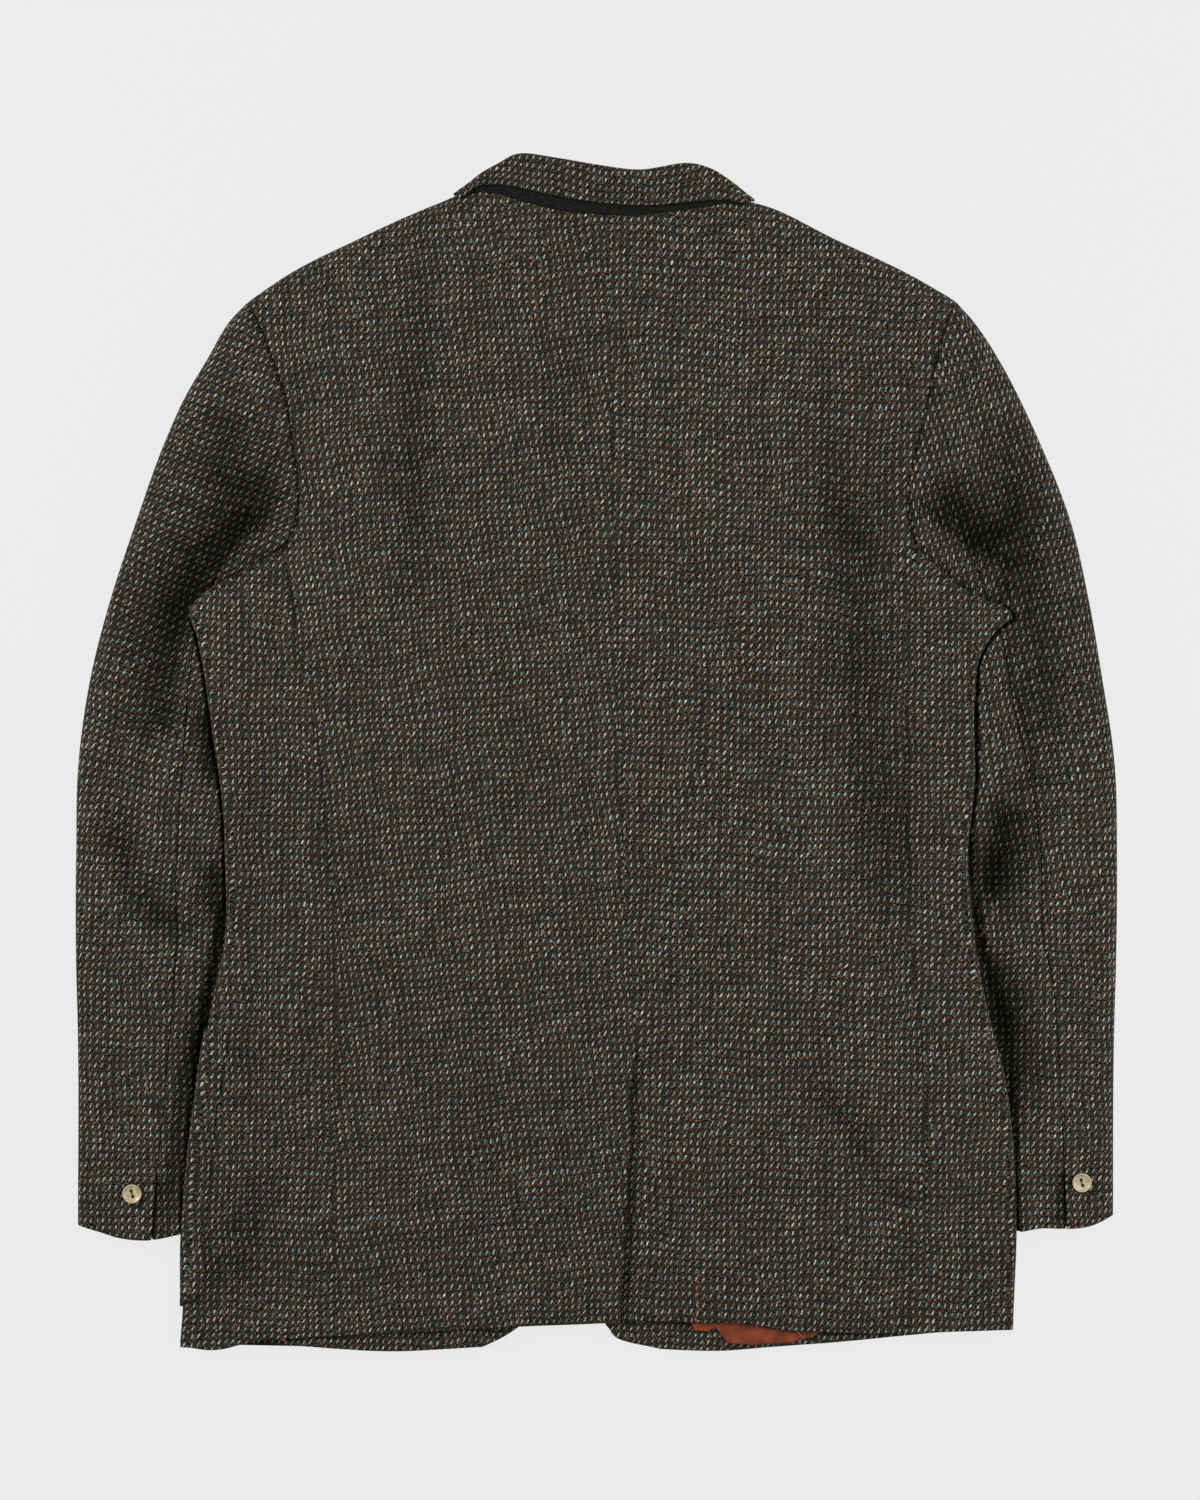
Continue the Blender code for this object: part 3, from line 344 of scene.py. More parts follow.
tweed = {
    "cell": (4.57, 5.4),  # mm across and along the cloth for one repeat of the flecks
    "ground": ("#020302", "#3a3931"), "teal": ("#1f2e30", "#4d6360"), "rust": ("#48301e", "#ac673b"),
    "light": ("#8b897f", "#c2c0b5"), "roughness": 0.95, "sheen": 0.03, "bump": 0.6,
    "streaks": ((0.6, 0.035), (0.035, 0.45)), "streakTone": (0.84, 1.16),
    # place in the cell, slant, half width and half height in cells, jitter, darkest and lightest share
    "lightFleck": ((0.0, 0.0), -0.54, (0.14, 0.43), 0.12, (0.6, 1.1)),
    "rustFleck": ((0.45, 0.5), 0.2, (0.18, 0.17), 0.4, (0.2, 1.0)),
    "tealFleck": ((0.62, 0.1), -0.4, (0.24, 0.36), 0.3, (-0.3, 0.9)),
}


def flecks(tree, place, offset, turn, size, jitter, share):
    # one soft slanted oval in each cell of the lattice, moved a little at random: its strength, and a random number
    moved = add(tree, "VectorMath", place, (*offset, 0), operation="ADD")
    chance = add(tree, "TexWhiteNoise", add(tree, "VectorMath", moved, operation="FLOOR"), out=1)
    inside = add(tree, "VectorMath", moved, operation="FRACTION")
    shaken = add(tree, "VectorMath", chance, (jitter, jitter, 0), inside, operation="MULTIPLY_ADD")
    middle = (0.5 + jitter / 2, 0.5 + jitter / 2, 0)
    turned = add(tree, "Mapping", shaken, middle, (0, 0, turn), (*size, 1), vector_type="TEXTURE")
    radius = add(tree, "VectorMath", turned, operation="LENGTH", out=1)
    oval = add(tree, "MapRange", radius, 0.3, 1.15, 1.0, 0.0, interpolation_type="SMOOTHSTEP")
    split = add(tree, "SeparateColor", chance).node
    strength = add(tree, "MapRange", split.outputs[2], 0.0, 1.0, *share)
    return add(tree, "Math", oval, strength, operation="MULTIPLY"), split.outputs[0]


def blend(tree, share, first, second):  # the two colours mixed by the share
    return add(tree, "Mix", {0: share, 6: first, 7: second}, data_type="RGBA", out=2)


def tweedSurface(name):  # tweed: dark fibres with rows of slanted light flecks, rust dots and blue-green between, darkened by painted shade from the shade attribute
    made, tree, shader = newSurface(name, Roughness=tweed["roughness"], Sheen_Weight=tweed["sheen"],
                                    Sheen_Roughness=0.5, Specular_IOR_Level=0.03)
    tones = {kind: [linear(code) for code in tweed[kind]] for kind in ("ground", "teal", "rust", "light")}
    flat = add(tree, "UVMap", uv_map="cloth")
    cells = add(tree, "VectorMath", flat, [1000 / size for size in tweed["cell"]] + [0], operation="MULTIPLY")
    slow = add(tree, "TexNoise", cells, {"Scale": 0.11, "Detail": 1.0}, out=1)
    quick = add(tree, "TexNoise", cells, {"Scale": 1.4, "Detail": 1.0}, out=1)
    drifted = add(tree, "VectorMath", slow, (2.0, 2.0, 0), cells, operation="MULTIPLY_ADD")
    place = add(tree, "VectorMath", quick, (0.25, 0.2, 0), drifted, operation="MULTIPLY_ADD")
    fibre = add(tree, "TexNoise", flat, {"Scale": 900.0, "Detail": 2.0, "Roughness": 0.7})
    tints = add(tree, "TexNoise", flat, {"Scale": 460.0, "Detail": 2.0, "Roughness": 0.6}, out=1)
    tint = add(tree, "SeparateColor", tints).node.outputs
    colour = blend(tree, add(tree, "MapRange", fibre, 0.42, 0.62), *tones["ground"])
    colour = blend(tree, add(tree, "MapRange", tint[1], 0.5, 0.75, 0.0, 0.7), colour, tones["teal"][0])
    colour = blend(tree, add(tree, "MapRange", tint[2], 0.5, 0.75, 0.0, 0.6), colour, tones["rust"][0])
    strengths = []
    for kind in ("teal", "rust", "light"):
        strength, chance = flecks(tree, place, *tweed[kind + "Fleck"])
        colour = blend(tree, strength, colour, blend(tree, chance, *tones[kind]))
        strengths.append(strength)
    threads = [add(tree, "TexNoise", add(tree, "VectorMath", place, (*run, 1.0), operation="MULTIPLY"),
                   {"Scale": 1.0, "Detail": 1.0}) for run in tweed["streaks"]]
    streak = add(tree, "MapRange", add(tree, "Math", *threads, operation="ADD"), 0.7, 1.3, *tweed["streakTone"])
    # painted shade: the colour is multiplied by one less the shade attribute, darker in creases, hollows, beside folded
    # edges and along seams
    lit = add(tree, "Math", 1.0, add(tree, "Attribute", out=2, attribute_name="shade"), operation="SUBTRACT")
    tone = add(tree, "Math", add(tree, "MapRange", fibre, 0.38, 0.62, 0.15, 1.85), lit, operation="MULTIPLY")
    tone = add(tree, "Math", tone, streak, operation="MULTIPLY")
    tree.links.new(add(tree, "VectorMath", colour, {3: tone}, operation="SCALE"), shader.inputs["Base Color"])
    raised = add(tree, "Math", strengths[1], 0.6, strengths[2], operation="MULTIPLY_ADD")
    height = add(tree, "Math", raised, fibre, operation="ADD")
    bump = add(tree, "Bump", {"Strength": tweed["bump"], "Distance": 0.0006, "Height": height})
    tree.links.new(bump, shader.inputs["Normal"])
    return made


felt = {"dark": "#0a0a0a", "pale": "#2b2a28", "roughness": 0.95}


def feltSurface(name):  # pressed wool felt: matted short fibres in two charcoal tones
    made, tree, shader = newSurface(name, Roughness=felt["roughness"], Sheen_Weight=0.03, Specular_IOR_Level=0.05)
    place = add(tree, "TexCoord", out=3)
    combed = add(tree, "VectorMath", place, (0.35, 1.0, 1.0), operation="MULTIPLY")
    mat = add(tree, "TexNoise", combed, {"Scale": 1100.0, "Detail": 4.0, "Roughness": 0.75, "Distortion": 1.2})
    colour = add(tree, "Mix", {0: add(tree, "MapRange", mat, 0.35, 0.7), 6: linear(felt["dark"]),
                               7: linear(felt["pale"])}, data_type="RGBA", out=2)
    tree.links.new(colour, shader.inputs["Base Color"])
    tree.links.new(add(tree, "Bump", {"Strength": 0.5, "Distance": 0.0005, "Height": mat}), shader.inputs["Normal"])
    return made


satin = {"deep": "#662510", "bright": "#97431c", "worn": "#b98a63", "roughness": 0.5}


def satinSurface(name):  # rust lining: fine twill lines and soft colour drift
    made, tree, shader = newSurface(name, Roughness=satin["roughness"], Sheen_Weight=0.15, Specular_IOR_Level=0.35)
    flat = add(tree, "UVMap", uv_map="cloth")
    twill = add(tree, "TexWave", flat, {"Scale": 480.0, "Distortion": 0.6, "Detail": 1.0}, bands_direction="DIAGONAL")
    drift = add(tree, "TexNoise", flat, {"Scale": 90.0, "Detail": 4.0, "Roughness": 0.6})
    colour = add(tree, "Mix", {0: add(tree, "MapRange", drift, 0.35, 0.65), 6: linear(satin["deep"]),
                               7: linear(satin["bright"])}, data_type="RGBA", out=2)
    shade = add(tree, "VectorMath", colour, {3: add(tree, "MapRange", twill, 0.0, 1.0, 0.85, 1.08)}, operation="SCALE")
    tree.links.new(shade, shader.inputs["Base Color"])
    tree.links.new(add(tree, "Bump", {"Strength": 0.3, "Distance": 0.0002, "Height": twill}), shader.inputs["Normal"])
    return made


# rim: dark brown for the button's edge, partly the horn's darker edge and partly painted shade
horn = {"pale": "#c8b896", "brown": "#8a6d47", "rim": "#3d2c20", "roughness": 0.3}


def hornSurface(name):  # polished horn: cloudy grain drawn out along one direction, a dark brown rim that is partly the horn's darker edge and partly painted shade where the surface turns from facing up, clear top coat
    made, tree, shader = newSurface(name, Roughness=horn["roughness"], Coat_Weight=0.4, Coat_Roughness=0.15)
    place = add(tree, "TexCoord", out=3)
    drawn = add(tree, "VectorMath", place, (1.0, 0.35, 1.0), operation="MULTIPLY")
    grain = add(tree, "TexNoise", drawn, {"Scale": 420.0, "Detail": 5.0, "Roughness": 0.6, "Distortion": 1.4})
    colour = blend(tree, add(tree, "MapRange", grain, 0.45, 0.8), linear(horn["pale"]), linear(horn["brown"]))
    # painted shade on the rim and the dish's slopes: the less the surface faces straight up, the more it turns dark
    # brown, partly standing for the horn's darker edge
    facing = add(tree, "SeparateXYZ", add(tree, "NewGeometry", out=1), out=2)
    rim = add(tree, "MapRange", facing, 0.4, 0.9, 1.0, 0.0)
    colour = blend(tree, rim, colour, linear(horn["rim"]))
    tree.links.new(colour, shader.inputs["Base Color"])
    tree.links.new(add(tree, "Bump", {"Strength": 0.08, "Distance": 0.0002, "Height": grain}), shader.inputs["Normal"])
    return made


def threadSurface(name, code):  # sewing thread: one colour with the fine slant of its twist
    made, tree, shader = newSurface(name, Roughness=0.7, Sheen_Weight=0.2)
    flat = add(tree, "UVMap", uv_map="cloth")
    twist = add(tree, "TexWave", flat, {"Scale": 900.0, "Distortion": 0.4}, bands_direction="DIAGONAL")
    dark = tuple(0.55 * part for part in linear(code)[:3]) + (1,)
    colour = add(tree, "Mix", {0: twist, 6: dark, 7: linear(code)}, data_type="RGBA", out=2)
    tree.links.new(colour, shader.inputs["Base Color"])
    return made


surfaces = {
    "tweed": tweedSurface("wool tweed"), "felt": feltSurface("under collar felt"),
    "satin": satinSurface("rust satin lining"), "horn": hornSurface("horn"),
    "darkThread": threadSurface("dark button thread", "#100c0a"),
    "orangeThread": threadSurface("orange basting thread", "#d9541f"),
    "paleThread": threadSurface("loose wool fibre", "#9a9066"),
}
print("surfaces made")


# ---- sheets

def meshFrom(name, points, faces, flat):  # points in mm and quads by number; the flat places become the cloth UVs
    mesh = bpy.data.meshes.new(name)
    mesh.vertices.add(len(points))
    mesh.vertices.foreach_set("co", (points * mm).astype(np.float32).ravel())
    mesh.loops.add(faces.size)
    mesh.loops.foreach_set("vertex_index", faces.astype(np.int32).ravel())
    mesh.polygons.add(len(faces))
    mesh.polygons.foreach_set("loop_start", np.arange(len(faces), dtype=np.int32) * faces.shape[1])
    mesh.update(calc_edges=True)
    layer = mesh.uv_layers.new(name="cloth")
    layer.data.foreach_set("uv", (flat[faces.ravel()] * mm).astype(np.float32).ravel())
    mesh.shade_smooth()
    made = bpy.data.objects.new(name, mesh)
    bpy.context.collection.objects.link(made)
    return made


def quads(rows, columns, closed=False):  # corner numbers of the quads between rows and columns of points
    corner = np.arange(rows * columns).reshape(rows, columns)
    if closed:
        corner = np.concatenate([corner, corner[:, :1]], axis=1)
    return np.stack([corner[:-1, :-1], corner[:-1, 1:], corner[1:, 1:], corner[1:, :-1]], axis=-1).reshape(-1, 4)


def layCloth(name, grid, flat, wall, surface, node, flip=False, shade=0.0):
    # a thin shell below the grid (rows, columns, xyz), standing for its node; shade is painted shade that darkens its
    # colour in deep folds, beside folded edges and along seams
    shade = np.clip(shade + 0 * grid[..., 0], 0, 0.85)
    if flip:
        grid, flat, shade = grid[:, ::-1], flat[:, ::-1], shade[:, ::-1]
    rows, columns = grid.shape[:2]
    made = meshFrom(name, grid.reshape(-1, 3), quads(rows, columns), flat.reshape(-1, 2))
    made.data.materials.append(surfaces[surface])
    made.data.attributes.new("shade", "FLOAT", "POINT").data.foreach_set("value", shade.astype(np.float32).ravel())
    thicken = made.modifiers.new("wall", "SOLIDIFY")
    thicken.thickness = wall * mm
    thicken.offset = -1
    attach(made, "root")
    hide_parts(node)
    return made


# ---- the back

backs = {
    "grain": {"left": (0.095, 1.04), "right": (-0.012, 0.95)},  # turn of the weave on the panel, and its closeness
    "creases": (  # height, painted shade (shade in creases, hollows, beside folded edges and under the vent's lap, and dark lines along seams), reach on the left and right of the path, path
        (-2.4, 0.3, 17, 11, ((-128, 352), (-126, 300), (-129, 240), (-131, 184), (-126, 100))),
        (-5.0, 0, 30, 26, ((182, 240), (188, 190), (196, 142), (200, 93), (200, 30), (206, -50), (208, -126))),
        (0, 0.46, 27, 18, ((160, 244), (167, 209), (175, 156), (178, 112), (184, 40), (193, -22), (201, -75), (202, -124))),
        (-1.8, 0.16, 7, 9, ((152, 186), (176, 156), (204, 122))),
        (-2.8, 0.28, 8, 8, ((136, -216), (154, -236), (176, -262), (196, -298), (220, -322))),
        (-2.0, 0.18, 10, 10, ((211, -322), (213, -345), (214, -372))),
        (-3.2, 0.34, 18, 18, ((-224, -290), (-238, -320), (-252, -360), (-268, -392))),
        (-1.8, 0.12, 8, 8, ((-240, 74), (-239, 20), (-237, -60), (-238, -130), (-240, -200), (-242, -270))),
        (-1.6, 0.2, 8, 7, ((232, 92), (246, 84), (262, 80))),
        (1.6, 0, 7, 7, ((257, 66), (256, 0), (254, -70), (258, -130))),
        (0.9, 0, 12, 12, ((-96, 240), (-92, 130), (-98, 20))),
        (-0.9, 0, 12, 12, ((-64, 60), (-52, -40), (-58, -150))),
        (0, 0.09, 22, 22, ((-28, 300), (-27, 262), (-27, 190))),
        (0.9, 0, 14, 14, ((96, 220), (112, 120), (116, 0))),
        (-0.9, 0.06, 9, 9, ((-150, -190), (-120, -214), (-86, -222))),
        (-0.8, 0.06, 8, 8, ((60, 96), (90, 84), (124, 92))),
        (0, 0.3, 1.5, 1.5, ((216, 70), (216.5, -40), (218.5, -120), (224, -173), (229, -230), (230, -306), (230, -398))),
        (0, 0.3, 1.5, 1.5, ((-205, 60), (-193, 0), (-184, -103), (-183, -300), (-183, -404))),
        (0, 0.55, 5, 1.2, ((27, -216), (25.3, -232), (22, -306), (16.5, -399))),
        (0, 0.5, 1.7, 1.7, ((-217, 152), (-216, 121), (-212, 107), (-210, 70), (-207, 44))),
        (0, 0.5, 2.4, 2, ((-208.5, 186), (-211, 158), (-218, 143), (-246, 128), (-271, 114.5), (-283, 103))),
        (0, 0.5, 2, 2.4, ((217, 190), (220, 156), (224, 143), (247, 122), (272, 107), (283, 103), (291, 96))),
        (0, 0.22, 1.6, 1.6, ((6, 376), (7.4, 355), (10.9, 247), (12.3, 142), (17.9, -33), (22.1, -138), (27, -208))),
    ),
}


def layBack(side):
    # x runs from the centre seam to the side seam or armhole, y from the hem to the shoulder
    sign = signOf[side]
    gap = -sign * cloth["seamLap"] / 2
    share = sharesBetween(215, cloth["step"], (("start", 4), ("end", 4)))

    def across(y):
        inner = np.where(y < body["ventTop"], curveThrough(body["vent"][side], y),
                         curveThrough(body["centreSeam"], y)) + gap
        outer = np.where(y < body["underarm"], curveThrough(body["sideSeam"][side], y),
                         curveThrough(body["armhole"][side], y)) - gap
        return inner + share * (outer - inner)

    low = curveThrough(body["backHem"][side], across(np.array(body["hemLevel"])))
    high = curveThrough(body["topLine"], across(np.array(body["shoulderLevel"])))
    down = sharesBetween(790, cloth["step"], (("start", 4), ("end", 14)))[:, None]
    y = low + down * (high - low)
    x = across(y)
    z = backHeight(x, y)
    lapped = eased((body["ventTop"] - y) / body["ventRamp"] + 0.5)
    if side == "left":
        z += body["ventStep"] * lapped * softLevel(x, -12, 99, 40)
    else:
        z -= body["ventStep"] * lapped * softLevel(x, -99, 30, 26)
    turn = shoulderTurn(x, y)
    fromInner = np.abs(x - x[:, :1])
    fromOuter = np.abs(x - x[:, -1:])
    seam = fromInner < 60
    z += np.where(y > body["ventTop"], seamDip(fromInner, y, 1) * seam, roundedEdge(fromInner))
    z += seamDip(fromOuter, y, 2, np.where(y < body["underarm"], relief["seamDip"], relief["armholeDip"]))
    creased, shade = creaseRelief(backs["creases"], x, y)
    z += (clothHills(x, y) + creased) * turn
    z += roundedEdge(y - low)
    grid = np.stack([x, y, z], axis=-1)
    grain, close = backs["grain"][side]
    run = low + np.cumsum(np.hypot(np.diff(y, axis=0, prepend=y[:1]), np.diff(z, axis=0, prepend=z[:1])), axis=0)
    flat = np.stack([x * np.cos(grain) + run * np.sin(grain), close * (run * np.cos(grain) - x * np.sin(grain))],
                    axis=-1)
    return layCloth("tweed_back_" + side, grid, flat, cloth["wall"], "tweed",
                    "back_" + side, side == "left", shade)


# ---- side bodies, fronts and lapels

def edgePoint(side, reach, y):
    # the body's surface at a distance round its folded edge, + over the top and - underneath: a half circle
    # between the two layers, then the layers themselves
    sign, radius = signOf[side], body["edgeRound"]
    edge = bodyOutline(side, y)
    turn = radius * pi / 2
    shoulder = edge - sign * radius
    upper, lower = backHeight(shoulder, y), frontHeight(side, shoulder, y)
    middle, half = (upper + lower) / 2, (upper - lower) / 2
    angle = np.clip(reach / radius, -pi / 2, pi / 2)
    x = edge - sign * (radius * (1 - np.sqrt(np.cos(angle))) + np.maximum(np.abs(reach) - turn, 0))
    onFlat = np.where(reach > 0, backHeight(x, y), frontHeight(side, x, y))
    z = np.where(np.abs(reach) > turn, onFlat, middle + half * np.sin(angle))
    return np.stack([x, y + 0 * x, z], axis=-1)


def reachTo(side, x, y):  # distance from the middle of the folded edge to x on the flat
    return np.abs(bodyOutline(side, y) - x) - body["edgeRound"] + body["edgeRound"] * pi / 2


def alongEdge(side, reach, y):  # flat places: x over the top, and past the fold the distance run over the cloth
    folded = bodyOutline(side, y) - signOf[side] * body["edgeRound"]
    return np.stack([folded + signOf[side] * (body["edgeRound"] * pi / 2 - reach), y + 0 * reach], axis=-1)


def movedOut(grid, distance):  # points moved along the grid's normals
    normal = np.cross(np.gradient(grid, axis=1), np.gradient(grid, axis=0))
    normal /= np.linalg.norm(normal, axis=2, keepdims=True)
    return grid + normal * np.asarray(distance)[..., None]


sides = {"top": 140.0}


def laySide(side):
    # columns run from the side seam over the folded edge to the front seam underneath
    turn = body["edgeRound"] * pi / 2
    parts = np.concatenate([
        3 - sharesBetween(75, cloth["step"], (("start", 4),))[:-1], np.linspace(2, 1, 14)[:-1],
        np.linspace(1, 0, 8),
    ])
    ends = [body[line][side][0][1] for line in ("frontSeam", "edge", "edge", "sideSeam")]
    hemX = np.interp(parts, [0, 1, 2, 3], ends)
    low = np.where(parts > 1.5, curveThrough(body["backHem"][side], hemX), curveThrough(body["frontHem"][side], hemX))
    down = sharesBetween(550, cloth["step"], (("start", 4), ("end", 6)))[:, None]
    y = low + down * (sides["top"] - low)
    gap = -cloth["seamLap"] / 2
    backReach = np.maximum(reachTo(side, curveThrough(body["sideSeam"][side], y), y) - gap, turn + 0.5)
    frontReach = np.maximum(reachTo(side, curveThrough(body["frontSeam"][side], y), y) - gap, turn + 0.5)
    reach = np.select([parts >= 2, parts > 1],
                      [turn + (parts - 2) * (backReach - turn), (parts - 1.5) * 2 * turn],
                      -turn - (1 - parts) * (frontReach - turn))
    grid = edgePoint(side, reach, y)
    x = grid[..., 0]
    upper = eased(reach / turn)
    creased, shade = creaseRelief(backs["creases"], x, y)
    rise = seamDip(backReach - reach, y, 2) + clothHills(x, y) + creased
    grid[..., 2] += rise * upper + roundedEdge(y - low)
    flat = alongEdge(side, reach, y)
    return layCloth("tweed_side_" + side, grid, flat, cloth["wall"], "tweed", "side_" + side,
                    side == "left", shade * upper)


def layFront(side):
    # underneath, from the closing edge and roll line to the side body and armhole
    sign = signOf[side]
    share = sharesBetween(200, cloth["hiddenStep"], (("start", 16),), 2.0)[:-1]
    ramp = sign * (body["over"]["in"] - body["over"]["ramp"])

    def across(y):
        inner = curveThrough(body["frontEdge"][side], y)
        outer = np.where(y < body["underarm"], curveThrough(body["frontSeam"][side], y),
                         curveThrough(body["armhole"][side], y)) - sign * cloth["seamGap"] / 2
        over = sign * (body["over"]["in"] - 0.2) + 0 * y
        return np.concatenate([inner + np.append(share, 1) * (ramp - inner), (ramp + over) / 2, over, outer], axis=-1)

    low = curveThrough(body["frontHem"][side], across(np.array([body["hemLevel"]])))
    high = curveThrough(body["topLine"], across(np.array([body["shoulderLevel"]])))
    down = sharesBetween(790, cloth["hiddenStep"], (("start", 36), ("end", 12)), 2.0)[:, None]
    y = low + down * (high - low)
    inner = curveThrough(body["frontEdge"][side], y)
    outer = np.where(y < body["underarm"], curveThrough(body["frontSeam"][side], y),
                     curveThrough(body["armhole"][side], y)) - sign * cloth["seamGap"] / 2
    part = np.concatenate([np.append(share, 1), [2, 3, 4]])
    over = sign * (body["over"]["in"] - 0.2)
    x = np.select([part <= 1, part == 2, part == 3], [inner + part * (ramp - inner), (ramp + over) / 2 + 0 * y,
                                                      over + 0 * y], outer)
    z = np.minimum(frontHeight(side, x, y), body["shoulderMid"] - 4 * cloth["seamGap"])
    lift = body["hemLift"][side] * eased((body["hemFrom"] - y) / body["hemRamp"])
    z = np.maximum(z, lift * softLevel(x, -body["hemReach"], body["hemReach"], body["hemFade"]))
    return layCloth("tweed_front_" + side, np.stack([x, y, z], axis=-1), np.stack([x, y], axis=-1), cloth["wall"],
                    "tweed", "front_" + side, side == "right")


def layLapel(side):
    # flat between front and surface, from the roll line to its pointed outer edge
    foot, ahead, out, length = lapelLine(side)
    share = np.linspace(0.02, 0.97, 70)[:, None]
    width = curveThrough(lapels["width"], share) * np.linspace(0, 1, 14)
    x = foot[0] + ahead[0] * length * share + out[0] * width
    y = foot[1] + ahead[1] * length * share + out[1] * width
    flat = np.stack([width, length * share + 0 * width], axis=-1)
    return layCloth("tweed_lapel_" + side, np.stack([x, y, 0 * x], axis=-1), flat, lapels["wall"], "tweed",
                    "lapel_" + side, side == "right")


# ---- sleeves

